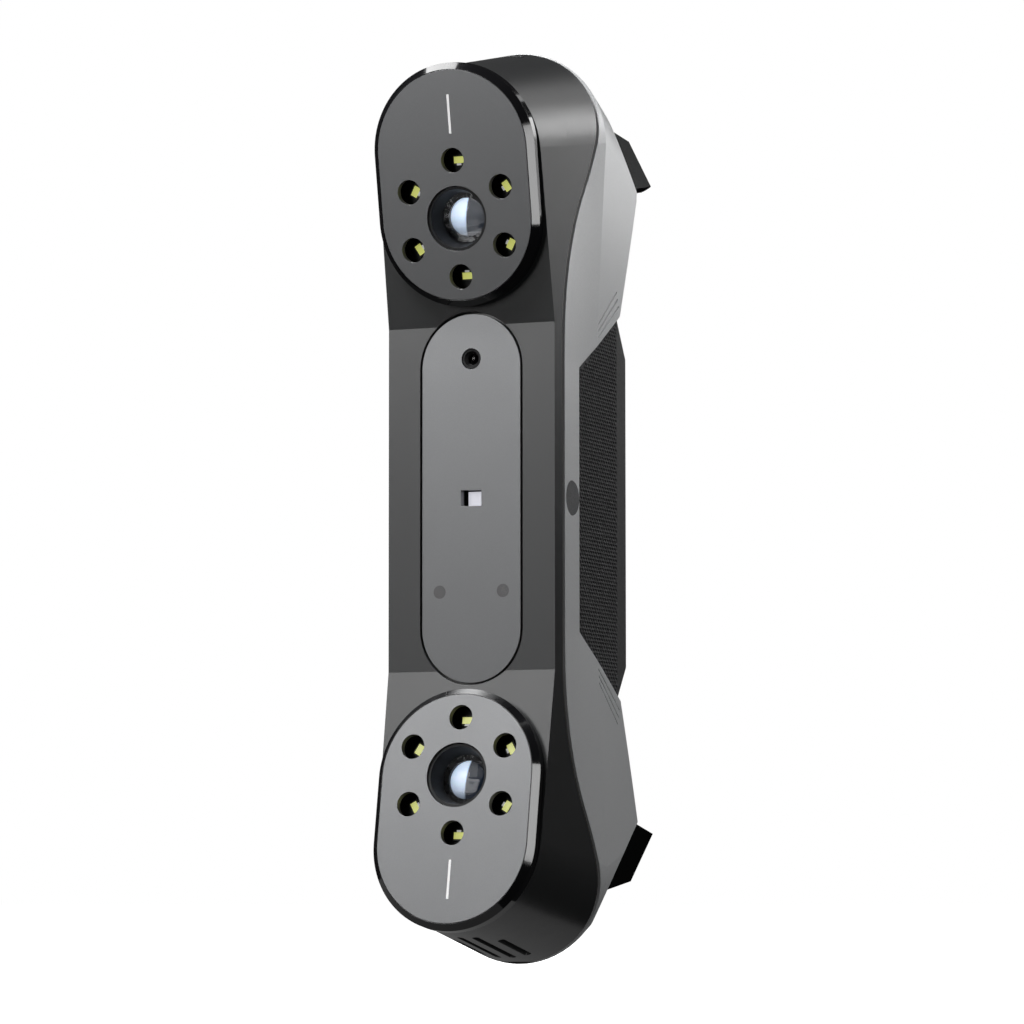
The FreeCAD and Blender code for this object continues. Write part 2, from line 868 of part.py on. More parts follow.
FOOT_HEIGHTS = {"upper": half_waist + s.upper_foot_along, "lower": -half_waist - s.lower_foot_along}


def foot_body(name, side_name, x_side):
    """A body in a foot's place, with Z along the foot and Y through its height."""
    spot = face.at(x_side * s.foot_x, 0, FOOT_HEIGHTS[side_name])
    lean = x_side * HEADS[side_name] * s.foot_lean
    body = doc.addObject("PartDesign::Body", name)
    corner = f"vector({spot.x.text}; {spot.y.text}; {spot.z.text})"
    turn = f"rotation(vector(0; 1; 0); {(-lean).text})"
    body.setExpression("Placement", f"placement({corner}; {turn})")
    return body


def corner_cuts(name, inset):
    """What is sliced off the back shell's corners, so that each ends flush with its foot's outer face."""
    slices = []
    spread = root(s.corner_slope * s.corner_slope + 1)
    edge = s.foot_thickness / 2 - inset * spread
    reach = s.back_width / 2
    for side_name in HEADS:
        for tag, x_side in (("left", -1), ("right", 1)):
            body = foot_body(f"{name}_{side_name}_{tag}", side_name, x_side)
            outline = [
                (edge, s.head_back_depth),
                (edge + reach, s.head_back_depth - reach / s.corner_slope),
                (edge + reach, s.head_back_depth + BEYOND),
                (edge, s.head_back_depth + BEYOND),
            ]
            pad(body, "XY", -s.end_reach / 2, s.end_reach, [[(x_side * x, y) for x, y in outline]])
            slices.append(body)
    return combine("Part::MultiFuse", name, slices)


# back shell
back_outside = back_volume("back_outside", 0, Dim.of(0))
ahead = [(front_limit, -far_end), (front_limit, far_end)]
across(back_outside, [rim_line() + ahead])
core_outside = handle_core("core_outside", s.grip_thickness)
back_inside = back_volume("back_inside", s.wall, s.wall)
core_inside = handle_core("core_inside", s.grip_thickness + s.wall)

side_turn = "rotation(vector(0; 1; 0); 90)"


def sideways_rod(name, low_x, radius, length):
    """A round piece along +X on the tripod socket's axis."""
    cylinder = doc.addObject("Part::Cylinder", name)
    cylinder.setExpression("Radius", Dim.of(radius).text)
    cylinder.setExpression("Height", Dim.of(length).text)
    spot = face.at(low_x, s.tripod_depth, 0)
    corner = f"vector({spot.x.text}; {spot.y.text}; 0)"
    cylinder.setExpression("Placement", f"placement({corner}; {side_turn})")
    return cylinder


# the strip beside the waist leans in towards the grip
strip_lean = (back_front_width - s.back_waist_width) / (s.rim_depth * 2)
strip_x = back_front_width / 2 - s.tripod_depth * strip_lean
insert_top = strip_x - s.tripod_plug_thickness
insert_low = insert_top - s.tripod_insert_length
boss_length = strip_x - s.wall + s.fit_clearance - insert_low
boss = sideways_rod("tripod_boss", insert_low, s.tripod_boss_radius, boss_length)

screw_floor = s.head_back_depth - s.wall - s.post_sink
posts = []
post_bores = []
for x_side in (-1, 1):
    for side in (-1, 1):
        spot = (x_side * s.screw_x, s.post_floor, side * screw_z)
        tag = f"{'right' if x_side > 0 else 'left'}_{'top' if side > 0 else 'bottom'}"
        posts.append(rod(
            f"post_{tag}", face, spot, s.post_radius, s.head_back_depth - s.post_floor - s.wall / 4, turn=-90,
        ))
        post_bores.append(rod(
            f"post_bore_{tag}", face, (spot[0], s.post_floor - 1, spot[2]),
            s.screw_radius + s.fit_clearance, BEYOND * 3, turn=-90,
        ))
        post_bores.append(rod(
            f"post_head_{tag}", face, (spot[0], screw_floor - s.screw_head_height, spot[2]),
            s.screw_head_radius + s.fit_clearance, BEYOND * 3, turn=-90,
        ))
back_solid = combine("Part::MultiFuse", "back_solid", [back_outside, core_outside])
back_sliced = cut("back_sliced", back_solid, corner_cuts("corner_cuts", Dim.of(0)))
back_hollow = combine("Part::MultiFuse", "back_hollow", [back_inside, core_inside])
hollow_sliced = cut("hollow_sliced", back_hollow, corner_cuts("inner_corner_cuts", s.wall))
back_walls = cut("back_walls", back_sliced, hollow_sliced)
back_full = combine("Part::MultiFuse", "back_full", [back_walls, boss] + posts)

# fine grooves on the flat sides, in line with the notch, as deep as a thin skin
skin_inside = back_volume("skin_inside", s.groove_depth, Dim.of(0))
skin = cut("side_skin", back_outside, skin_inside)
groove_lines = []
slope_run = s.grip_crease_depth - s.grip_front_depth
slope_rise = grip_crease_end - grip_front_end
for side_name, side in HEADS.items():
    for number in range(GROOVES):
        shift = (number + 1) * s.groove_pitch
        start = (s.grip_front_depth + slope_run * s.groove_start,
                 grip_front_end + slope_rise * s.groove_start + shift)
        end = (s.grip_crease_depth - 1 - number, grip_crease_end + shift + s.groove_pitch * 0.3)
        width = s.groove_width
        line = [start, end, (end[0], end[1] + width), (start[0], start[1] + width)]
        outline = [(y, side * z) for y, z in line]
        groove_lines.append(slab(
            f"{side_name}_groove_{number + 1}", face, "YZ", -rim_width, rim_width * 2, outline,
        ))
grooves = doc.addObject("Part::Common", "grooves")
grooves.Base = skin
grooves.Tool = combine("Part::MultiFuse", "groove_lines", groove_lines)

plug_bore = s.tripod_plug_radius + s.tripod_plug_clearance
panel_half = s.panel_length / 2 - s.panel_width / 2
panel_back = s.grip_back_depth + s.panel_proud
panel_front = s.grip_back_depth - s.grip_thickness
back_cuts = [
    sideways_rod("plug_bore", insert_top, plug_bore, 5),
    sideways_rod("insert_bore", insert_low - 1, s.tripod_insert_radius, s.tripod_insert_length + 1),
    slab(
        "panel_opening", face, "XZ", panel_front - s.wall - 1, s.wall + 2,
        stadium(s.panel_width / 2 - s.panel_ledge, -panel_half, panel_half),
    ),
    grooves,
]
back_tool = combine("Part::MultiFuse", "back_cuts", back_cuts + post_bores)
keep("rear_shell", cut("rear_shell", back_full, back_tool))

# grip sleeve, with its rear corners rounded, cut out for the core and the control panel
grip_outside = new_body("grip_outside", face)
grip_height = grip_crease_end * 4
pad(grip_outside, "XY", -grip_height / 2, grip_height, [mirrored(grip_section)])


def on_grip_back(edge):
    """The two long edges along the back of the grip."""
    start = edge.Vertexes[0].Point
    return spans(edge, 2) > grip_crease_end.number and abs(start.y - s.grip_back_depth.number) < 0.01


def on_grip_end(edge):
    """The grip's top and bottom edges, across its back and down its sloping ends."""
    middle = edge.CenterOfMass
    return spans(edge, 2) < 1.5 and middle.y > s.grip_back_depth.number - s.grip_corner.number


round_off(grip_outside, s.grip_corner, on_grip_back)
side_frame = rectangle(front_limit, -grip_height, back_limit, grip_height)
across(grip_outside, [side_frame, mirrored_ends(grip_side)])
round_off(grip_outside, s.grip_end_corner, on_grip_end)
panel_cutter = slab(
    "panel_cutter", face, "XZ", panel_front - 1, s.grip_thickness + 5,
    stadium(s.panel_width / 2, -panel_half, panel_half),
)
grip_cut = combine("Part::MultiFuse", "grip_cut", [core_outside, panel_cutter, boss])
keep("grip_cover", cut("grip_cover", grip_outside, grip_cut))


# ---- camera heads -------------------------------------------------------------------------------

def ring(count, radius, start=90):
    """Points spread evenly round a circle, the first one at the start angle."""
    return [
        (radius * cosine(start + 360 / count * n), radius * sine(start + 360 / count * n))
        for n in range(count)
    ]


def build_head(name, side):
    here = head_frame(side)
    lights = ring(LIGHTS, s.light_ring_radius)
    back = -s.head_proud - s.front_wall

    bezel = new_body(f"{name}_bezel", here)
    pad(bezel, "XY", -s.head_proud, s.head_proud, [head_outline(side, s.bezel_radius)])

    def on_front(edge):
        box = edge.BoundBox
        return abs(box.ZMin) < 0.01 and abs(box.ZMax) < 0.01

    round_off(bezel, s.bezel_chamfer, on_front, "Chamfer")
    pad(bezel, "XY", back, s.front_wall, [head_outline(side, spigot_radius)])
    pocket(bezel, "XY", back - 1, s.head_proud + s.front_wall + 2, [head_outline(side, bezel_bore)])
    plate_seat = head_outline(side, face_plate_radius + s.face_plate_gap)
    pocket(bezel, "XY", -s.face_plate_thickness, s.face_plate_thickness + 1, [plate_seat])
    board_seat = head_outline(side, light_board_radius + s.face_plate_gap / 4)
    pocket(bezel, "XY", back - 1, s.head_proud + s.front_wall + 1 - s.light_board_depth, [board_seat])
    keep(f"{name}_bezel", bezel)

    mark_low = s.mark_start if side > 0 else -s.mark_start - s.mark_length
    mark = rectangle(-s.mark_width / 2, mark_low, s.mark_width / 2, mark_low + s.mark_length)
    holes = [circle(x, y, s.light_hole_radius) for x, y in lights]
    plate = slab(
        f"{name}_lens_plate", here, "XY", -s.face_plate_thickness, s.face_plate_thickness,
        head_outline(side, face_plate_radius), circle(0, 0, lens_hole_radius), *holes,
    )
    pocket(plate, "XY", -s.mark_depth, s.mark_depth, [mark])
    keep(f"{name}_lens_plate", plate)
    keep(f"{name}_index_mark", slab(
        f"{name}_index_mark", here, "XY", -s.mark_depth, s.mark_depth, mark,
    ))

    board = slab(
        f"{name}_light_board", here, "XY", -s.light_board_depth - s.light_board_thickness,
        s.light_board_thickness, head_outline(side, light_board_radius),
        circle(0, 0, light_board_bore),
    )
    keep(f"{name}_light_board", board)
    keep(f"{name}_lights", light_ring(f"{name}_lights", here, -s.light_board_depth, s.light_length,
                                      s.light_width, s.light_height))
    keep(f"{name}_light_phosphors", light_ring(
        f"{name}_light_phosphors", here, -s.light_board_depth + s.light_height, s.phosphor_length,
        s.phosphor_width, s.phosphor_height,
    ))
    build_camera(name, here)


def light_ring(name, here, low, length, width, height):
    """Six small rectangles round the lens, each lying across its own radius."""
    near, far = s.light_ring_radius - width / 2, s.light_ring_radius + width / 2
    outlines = []
    for number in range(LIGHTS):
        turn = 90 + 360 / LIGHTS * number
        along, across_x = cosine(turn), sine(turn)
        corners = [(near, -length / 2), (far, -length / 2), (far, length / 2), (near, length / 2)]
        outlines.append([(r * along - t * across_x, r * across_x + t * along) for r, t in corners])
    return slab(name, here, "XY", low, height, *outlines)


def square(size):
    half = size / 2
    return rectangle(-half, -half, half, half)


def ball_radius(edge_radius, crown):
    """The radius of the ball whose cap has this edge radius and this crown."""
    return (edge_radius * edge_radius + crown * crown) / (crown * 2)


def build_camera(name, here):
    """Lens barrel, front lens, holder, sensor and its board, all on the head's own axis."""
    top = -s.barrel_recess
    shoulder = top - s.barrel_length
    stem_end = shoulder - s.barrel_stem_length
    seat = top - s.barrel_mouth_depth
    lens_seat = seat - s.lens_rim_thickness
    barrel = new_body(f"{name}_camera_barrel", here)
    revolve(barrel, [[
        (s.barrel_bore_radius, stem_end),
        (s.barrel_stem_radius, stem_end),
        (s.barrel_stem_radius, shoulder),
        (s.barrel_radius, shoulder),
        (s.barrel_radius, top),
        (barrel_mouth_radius, top),
        (s.lens_radius, seat),
        (s.lens_radius, lens_seat),
        (s.barrel_bore_radius, lens_seat),
    ]])
    keep(f"{name}_camera_barrel", barrel)

    lens = new_body(f"{name}_camera_lens", here)
    lens_top = seat + s.lens_crown
    revolve(lens, [[
        (0, lens_seat),
        (s.lens_radius, lens_seat),
        (s.lens_radius, seat),
        arc((0, lens_top), (0, lens_top - ball_radius(s.lens_radius, s.lens_crown)), 1),
    ]])
    keep(f"{name}_camera_lens", lens)

    holder_back = shoulder - s.holder_depth
    flange = -s.head_proud - s.frame_depth
    holder = slab(
        f"{name}_camera_holder", here, "XY", holder_back, s.holder_depth, square(s.holder_size),
        circle(0, 0, s.barrel_stem_radius),
    )
    screw_spot = s.holder_flange_size / 2 - s.holder_screw_inset
    corners = [(x * screw_spot, y * screw_spot) for x in (-1, 1) for y in (-1, 1)]
    pad(holder, "XY", flange, s.holder_flange_thickness, [
        square(s.holder_flange_size),
        circle(0, 0, s.barrel_stem_radius),
        *[circle(x, y, s.small_screw_radius) for x, y in corners],
    ])
    keep(f"{name}_camera_holder", holder)
    for x, y in corners:
        camera_screw_spots.append((here, x, y, flange + s.holder_flange_thickness))

    keep(f"{name}_image_sensor", block(
        f"{name}_image_sensor", here, (-s.sensor_size / 2, -s.sensor_size / 2, holder_back),
        (s.sensor_size, s.sensor_size, s.sensor_thickness),
    ))
    board_side = s.sensor_board_size
    keep(f"{name}_sensor_board", block(
        f"{name}_sensor_board", here,
        (-board_side / 2, -board_side / 2, holder_back - s.board_thickness),
        (board_side, board_side, s.board_thickness),
    ))


def screws(name, spots, radius, length, head_radius, head_height, turn=0):
    """A group of separate screws: each spot is (frame, x, y, z) under its head."""
    members = []
    for number, (here, x, y, z) in enumerate(spots, start=1):
        tag = f"{name}_{number}"
        place = here.at(x, y, z, turn=turn)
        screw = new_body(tag, place)
        revolve(screw, [[
            (0, -length),
            (radius, -length),
            (radius, 0),
            (head_radius, 0),
            (head_radius, head_height * 0.6),
            (head_radius * 0.85, head_height),
            (0, head_height),
        ]])
        slot = head_radius * 0.5
        pocket(screw, "XY", head_height * 0.45, head_height, [square(slot)])
        members.append(screw)
    return keep(name, combine("Part::Compound", name, members))


camera_screw_spots = []
for side_name, side in HEADS.items():
    build_head(side_name, side)
camera_screw_length = s.holder_flange_thickness + s.frame_thickness
screws("camera_screws", camera_screw_spots, s.small_screw_radius, camera_screw_length,
       s.small_head_radius, s.small_head_height)


# ---- front plate and what looks through it --------------------------------------------------------

colour_hole = s.colour_camera_radius
front_plate = slab(
    "centre_plate", face, "XZ", 0, s.plate_thickness,
    stadium(plate_radius, -plate_centre, plate_centre),
    rectangle(-s.window_width / 2, -s.window_height / 2, s.window_width / 2, s.window_height / 2),
    circle(0, s.colour_camera_z, colour_hole),
    circle(s.infrared_x, -s.infrared_z, s.infrared_radius),
    circle(-s.infrared_x, -s.infrared_z, s.infrared_radius),
)
keep("centre_plate", front_plate)
keep("infrared_windows", slab(
    "infrared_windows", face, "XZ", 0, s.plate_thickness,
    circle(s.infrared_x, -s.infrared_z, s.infrared_radius),
    circle(-s.infrared_x, -s.infrared_z, s.infrared_radius),
))
emitter_front = s.plate_thickness + s.loose_clearance
keep("infrared_emitters", slab(
    "infrared_emitters", face, "XZ", emitter_front,
    s.front_board_depth - emitter_front,
    circle(s.infrared_x, -s.infrared_z, s.emitter_radius),
    circle(-s.infrared_x, -s.infrared_z, s.emitter_radius),
))

front_look = face.at(0, 0, s.colour_camera_z, turn=90)
colour_barrel = new_body("colour_camera_barrel", front_look)
colour_top = -s.colour_barrel_recess
colour_radius = colour_hole - s.fit_clearance
lens_edge = colour_top - s.colour_barrel_cone - s.colour_lens_crown
lens_floor = lens_edge - s.colour_lens_thickness
revolve(colour_barrel, [[
    (0, -s.front_board_depth),
    (colour_radius, -s.front_board_depth),
    (colour_radius, colour_top),
    (colour_radius - s.colour_barrel_rim, colour_top),
    (s.colour_lens_radius, colour_top - s.colour_barrel_cone),
    (s.colour_lens_radius, lens_floor),
    (0, lens_floor),
]])
keep("colour_camera_barrel", colour_barrel)
colour_lens = new_body("colour_camera_lens", front_look)
lens_top = lens_edge + s.colour_lens_crown
revolve(colour_lens, [[
    (0, lens_floor),
    (s.colour_lens_radius, lens_floor),
    (s.colour_lens_radius, lens_edge),
    arc((0, lens_top), (0, lens_top - ball_radius(s.colour_lens_radius, s.colour_lens_crown)), 1),
]])
keep("colour_camera_lens", colour_lens)

projector_front = s.front_wall + s.fit_clearance
lens_back = s.projector_lens_depth + s.projector_lens_thickness
lens_x, lens_z = s.projector_lens_width / 2, s.projector_lens_height / 2
projector = slab(
    "projector_housing", face, "XZ", projector_front, s.projector_depth,
    rectangle(-s.projector_width / 2, -s.projector_height / 2, s.projector_width / 2, s.projector_height / 2),
)
pocket(projector, "XZ", projector_front - 1, lens_back + 1 - projector_front,
       [rectangle(-lens_x, -lens_z, lens_x, lens_z)])
keep("projector_housing", projector)
keep("projector_lens", block(
    "projector_lens", face, (-lens_x, s.projector_lens_depth, -lens_z),
    (s.projector_lens_width, s.projector_lens_thickness, s.projector_lens_height),
))
gap_x = s.projector_width / 2 + s.loose_clearance
gap_z = s.projector_height / 2 + s.loose_clearance
projector_gap = rectangle(-gap_x, -gap_z, gap_x, gap_z)
keep("front_sensor_board", slab(
    "front_sensor_board", face, "XZ", s.front_board_depth, s.board_thickness,
    rectangle(-s.front_board_width / 2, -s.front_board_bottom, s.front_board_width / 2, s.front_board_top),
    projector_gap,
))


# ---- optical frame ------------------------------------------------------------------------------

def along_head(distance, depth):
    """A side-view point on the head, measured along its face from the bend and in from it."""
    y = depth * cosine(s.toe_in) - distance * sine(s.toe_in)
    z = half_waist + distance * cosine(s.toe_in) + depth * sine(s.toe_in)
    return (y, z)


frame_back = s.frame_depth + s.frame_thickness
bent = [
    (frame_back, half_waist + frame_back * tangent(s.toe_in / 2)),
    along_head(s.frame_along, frame_back),
    along_head(s.frame_along, s.frame_depth),
    (s.frame_depth, half_waist + s.frame_depth * tangent(s.toe_in / 2)),
]
lower_bent = [(y, -z) for y, z in reversed(bent)]
frame_body = new_body("optical_frame", face)
pad(frame_body, "YZ", -s.frame_width / 2, s.frame_width, [bent + lower_bent])
waist_half = half_waist - s.frame_waist_inset
notches = [
    rectangle(s.frame_waist_width / 2, -waist_half, s.frame_width, waist_half),
    rectangle(-s.frame_width, -waist_half, -s.frame_waist_width / 2, waist_half),
    projector_gap,
]
board_holes = [(x * s.board_hole_x, z * s.board_hole_z) for x in (-1, 1) for z in (-1, 1)]
pocket(frame_body, "XZ", s.frame_depth - 1, s.frame_thickness + 2,
       notches + [circle(x, z, s.small_screw_radius) for x, z in board_holes])
frame_holes = []
for side_name, side in HEADS.items():
    screw_spot = s.holder_flange_size / 2 - s.holder_screw_inset
    corners = [(x * screw_spot, y * screw_spot) for x in (-1, 1) for y in (-1, 1)]
    frame_holes.append(slab(
        f"{side_name}_frame_hole", head_frame(side), "XY", -s.head_proud - frame_back - BEYOND / 2,
        s.frame_thickness + BEYOND, square(s.holder_size + s.loose_clearance),
        *[circle(x, y, s.small_screw_radius) for x, y in corners],
    ))
for number, (x, z) in enumerate([(x, z) for x in (-1, 1) for z in (-1, 1)], start=1):
    frame_holes.append(rod(
        f"frame_screw_hole_{number}", face, (x * s.screw_x, -BEYOND, z * screw_z), s.screw_radius,
        BEYOND * 4, turn=-90,
    ))
keep("optical_frame", cut("optical_frame_cut", frame_body,
                          combine("Part::MultiFuse", "frame_holes", frame_holes)))

# pillars from the frame to the back shell's posts, and the long screws that hold the shells together
pillars = []
pillar_radius = s.screw_radius + s.pillar_wall
pillar_top = along_head((screw_z - pillar_radius - half_waist) / cosine(s.toe_in), frame_back)
pillar_start = pillar_top[0] + s.loose_clearance * 2
for number, (x, z) in enumerate([(x, z) for x in (-1, 1) for z in (-1, 1)], start=1):
    pillar = slab(
        f"pillar_{number}", face.at(x * s.screw_x, pillar_start, z * screw_z, turn=-90), "XY",
        0, s.post_floor - pillar_start, circle(0, 0, pillar_radius), circle(0, 0, s.screw_radius),
    )
    pillars.append(pillar)
keep("frame_pillars", combine("Part::Compound", "frame_pillars", pillars))
case_spots = [
    (face, x * s.screw_x, screw_floor - s.screw_head_height, z * screw_z)
    for x in (-1, 1) for z in (-1, 1)
]
screws("case_screws", case_spots, s.screw_radius, s.screw_length, s.screw_head_radius,
       s.screw_head_height, turn=-90)


# ---- electronics --------------------------------------------------------------------------------

board_top = s.main_board_depth + s.main_board_thickness
main_board = slab(
    "main_board", face, "XZ", s.main_board_depth, s.main_board_thickness,
    rectangle(-s.main_board_width / 2, -s.main_board_length / 2, s.main_board_width / 2,
              s.main_board_length / 2),
    *[circle(x, z, s.small_screw_radius) for x, z in board_holes],
)
keep("main_board", main_board)
chip_edge = s.chip_size / 2
memory_low = chip_edge + s.chip_spacing
memory_high = memory_low + s.memory_height
memory_inner = s.memory_x - s.memory_width / 2
memory_outer = s.memory_x + s.memory_width / 2
store_top = -chip_edge - s.chip_spacing
keep("main_chips", slab(
    "main_chips", face, "XZ", board_top, s.chip_height,
    square(s.chip_size),
    rectangle(-memory_outer, memory_low, -memory_inner, memory_high),
    rectangle(memory_inner, memory_low, memory_outer, memory_high),
    rectangle(-s.memory_x, store_top - s.store_height, s.memory_x, store_top),
))
cooler_low = board_top + s.chip_height
cooler = slab(
    "heat_sink", face, "XZ", cooler_low, s.cooler_height,
    rectangle(-s.cooler_width / 2, -s.cooler_length / 2, s.cooler_width / 2, s.cooler_length / 2),
)
fin_pitch = s.cooler_width / FINS
slots = []
for number in range(1, FINS):
    centre = number * fin_pitch - s.cooler_width / 2
    low, high = centre - s.fin_gap / 2, centre + s.fin_gap / 2
    slots.append(rectangle(low, -s.cooler_length, high, s.cooler_length))
pocket(cooler, "XZ", cooler_low + s.cooler_base, s.cooler_height, slots)
keep("heat_sink", cooler)

standoffs = []
for number, (x, z) in enumerate(board_holes, start=1):
    standoffs.append(slab(
        f"standoff_{number}", face.at(x, frame_back, z, turn=-90), "XY",
        0, s.main_board_depth - frame_back,
        circle(0, 0, s.standoff_radius), circle(0, 0, s.small_screw_radius),
    ))
keep("board_standoffs", combine("Part::Compound", "board_standoffs", standoffs))
screws("board_screws", [(face, x, board_top, z) for x, z in board_holes], s.small_screw_radius,
       s.board_screw_length, s.small_head_radius, s.small_head_height, turn=-90)

# the socket: a thin metal shell closed at its inner end, with a tongue, on a small board
socket_low = -s.socket_length
shell_piece = slab(
    "usb_socket", socket, "XY", socket_low, s.socket_length,
    sideways_stadium(s.socket_width / 2, socket_corner),
)
pocket(shell_piece, "XY", socket_low + s.socket_floor, s.socket_length, [
    sideways_stadium(s.socket_width / 2 - s.socket_wall, socket_corner - s.socket_wall),
])
tongue_x, tongue_y = s.tongue_width / 2, s.tongue_height / 2
pad(shell_piece, "XY", socket_low + s.socket_floor, s.socket_length - s.socket_floor * 2, [
    rectangle(-tongue_x, -tongue_y, tongue_x, tongue_y),
])
keep("usb_socket", shell_piece)
socket_board_end = s.socket_recess - s.wall - s.socket_board_gap
keep("usb_board", block(
    "usb_board", socket,
    (-s.socket_board_width / 2, socket_corner, socket_board_end - s.socket_board_length),
    (s.socket_board_width, s.board_thickness, s.socket_board_length),
))


def ribbon(name, side, points):
    """A flat flexible cable seen from the side, its points on its front face from top to bottom."""
    rear = []
    for number, point in enumerate(points):
        before = points[max(number - 1, 0)]
        after = points[min(number + 1, len(points) - 1)]
        if before is point:
            before = (point[0] * 2 - after[0], point[1] * 2 - after[1])
        if after is point:
            after = (point[0] * 2 - before[0], point[1] * 2 - before[1])
        rear.append(mitre(before, point, after, s.ribbon_thickness))
    outline = [(y, z * side) for y, z in points + list(reversed(rear))]
    return keep(name, slab(name, face, "YZ", -s.ribbon_width / 2, s.ribbon_width, outline))


# each camera's ribbon leaves the back of its sensor board and ends on the front of the main board
sensor_back = s.barrel_recess + s.barrel_length + s.holder_depth + s.board_thickness - s.head_proud
board_edge = s.head_lens_along - s.sensor_board_size / 2
ribbon_end = s.main_board_depth - s.ribbon_thickness
ribbon_route = [
    along_head(board_edge + s.ribbon_lap, sensor_back),
    along_head(board_edge, sensor_back),
    (ribbon_end, s.main_board_length / 2),
    (ribbon_end, s.main_board_length / 2 - s.ribbon_lap),
]
for side_name, side in HEADS.items():
    ribbon(f"{side_name}_camera_ribbon", side, ribbon_route)


# ---- feet ---------------------------------------------------------------------------------------

def foot(name, side_name, x_side):
    """A slanted bar on the back of a head: longer at its base, with a bevelled rear edge."""
    body = foot_body(name, side_name, x_side)
    half, base = s.foot_thickness / 2, s.foot_base_length / 2
    inner = s.foot_top_length / 2
    length = feet_depth
    side_view = [
        (s.head_back_depth, -base),
        (length, -inner),
        (length, inner),
        (s.head_back_depth, base),
    ]
    pad(body, "YZ", -half, s.foot_thickness, [side_view])

    def on_back(edge):
        box = edge.BoundBox
        flat = abs(box.YMin - length.number) < 0.01 and abs(box.YMax - length.number) < 0.01
        return flat and box.ZLength > 1

    round_off(body, s.foot_chamfer, on_back, "Chamfer")
    return body


for side_name in HEADS:
    pair = [foot(f"{side_name}_foot_{tag}", side_name, x) for tag, x in (("left", -1), ("right", 1))]
    keep(f"{side_name}_feet", combine("Part::Compound", f"{side_name}_feet", pair))


# ---- tripod socket ------------------------------------------------------------------------------

insert_solid = sideways_rod("insert_solid", insert_low, s.tripod_insert_radius, s.tripod_insert_length)
insert_bore = sideways_rod("insert_thread", insert_low - BEYOND, s.tripod_thread_radius, BEYOND * 3)
keep("tripod_insert", cut("tripod_insert_cut", insert_solid, insert_bore))
keep("tripod_plug", sideways_rod("tripod_plug", insert_top, s.tripod_plug_radius, s.tripod_plug_thickness))


# ---- control panel ------------------------------------------------------------------------------

BUTTONS = {
    "scan_button": (s.scan_radius, Dim.of(0)),
    "plus_button": (s.step_radius, s.step_z),
    "minus_button": (s.step_radius, -s.step_z),
    "mode_button": (s.mode_radius, -s.mode_z),
}
panel_thickness = s.grip_thickness + s.panel_proud
panel = slab(
    "control_panel", face, "XZ", panel_front, panel_thickness,
    stadium(s.panel_width / 2, -panel_half, panel_half),
    *[circle(0, z, radius + s.button_clearance) for radius, z in BUTTONS.values()],
    [(x, z + s.status_z) for x, z in rectangle(-s.status_length / 2, -s.status_width / 2,
                                               s.status_length / 2, s.status_width / 2)],
)
board_back = s.button_board_depth + s.board_thickness
pad(panel, "XZ", board_back, panel_front - board_back, [
    circle(0, s.panel_screw_z, s.panel_post_radius),
    circle(0, -s.panel_screw_z, s.panel_post_radius),
])
panel_screw_holes = [circle(0, z, s.small_screw_radius) for z in (s.panel_screw_z, -s.panel_screw_z)]
pocket(panel, "XZ", board_back, s.panel_screw_bite, panel_screw_holes)
keep("control_panel", panel)
screws("panel_screws", [(face, 0, s.button_board_depth, z) for z in (s.panel_screw_z, -s.panel_screw_z)],
       s.small_screw_radius, s.board_thickness + s.panel_screw_bite, s.small_head_radius,
       s.small_head_height, turn=90)
keep("status_light", block(
    "status_light", face,
    (-s.status_length / 2, panel_front - s.status_width, s.status_z - s.status_width / 2),
    (s.status_length, panel_thickness + s.status_width, s.status_width),
))
flange_top = panel_front - s.switch_gap * 2
flange_low = flange_top - s.button_flange_height
stem_end = flange_low - s.button_travel - s.button_stem_radius / 2
switch_top = stem_end - s.button_travel - s.switch_gap
for name, (radius, z) in BUTTONS.items():
    button_top = panel_back + s.button_proud
    button = new_body(name, face.at(0, 0, z, turn=-90))
    revolve(button, [[
        (0, stem_end),
        (s.button_stem_radius, stem_end),
        (s.button_stem_radius, flange_low),
        (radius + s.button_flange, flange_low),
        (radius + s.button_flange, flange_top),
        (radius, flange_top),
        (radius, button_top - s.button_edge),
        (radius - s.button_edge, button_top),
        (0, button_top - s.button_edge / 2),
    ]])
    keep(name, button)
switch_half = s.switch_size / 2
keep("button_switches", slab(
    "button_switches", face, "XZ", board_back, switch_top - board_back,
    *[rectangle(-switch_half, z - switch_half, switch_half, z + switch_half)
      for radius, z in BUTTONS.values()],
))
button_board_end = s.panel_screw_z + s.panel_post_radius
keep("button_board", slab(
    "button_board", face, "XZ", s.button_board_depth, s.board_thickness,
    rectangle(-s.button_board_width / 2, -button_board_end, s.button_board_width / 2, button_board_end),
    *panel_screw_holes,
))


# ---- check and write ----------------------------------------------------------------------------

doc.recompute()
for item in doc.Objects:
    if "Invalid" in item.State or "Error" in item.State:
        raise RuntimeError(f"{item.Label} failed: {item.State}")
for before, after in cuts:
    if after.Shape.Volume >= before.Shape.Volume - 1e-6:
        raise RuntimeError(f"{after.Label} takes nothing away")
os.makedirs("parts", exist_ok=True)
for name, item in nodes.items():
    shape = item.Shape
    if shape.isNull() or not shape.isValid() or not shape.Solids:
        raise RuntimeError(f"{name} is not a valid solid")
    shape.exportStep(f"parts/{name}.step")
    print(name, len(shape.Solids), round(shape.Volume, 1))
print(len(nodes), "pieces")
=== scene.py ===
import json
import math

import bmesh
import bpy
from mathutils import Matrix, Vector


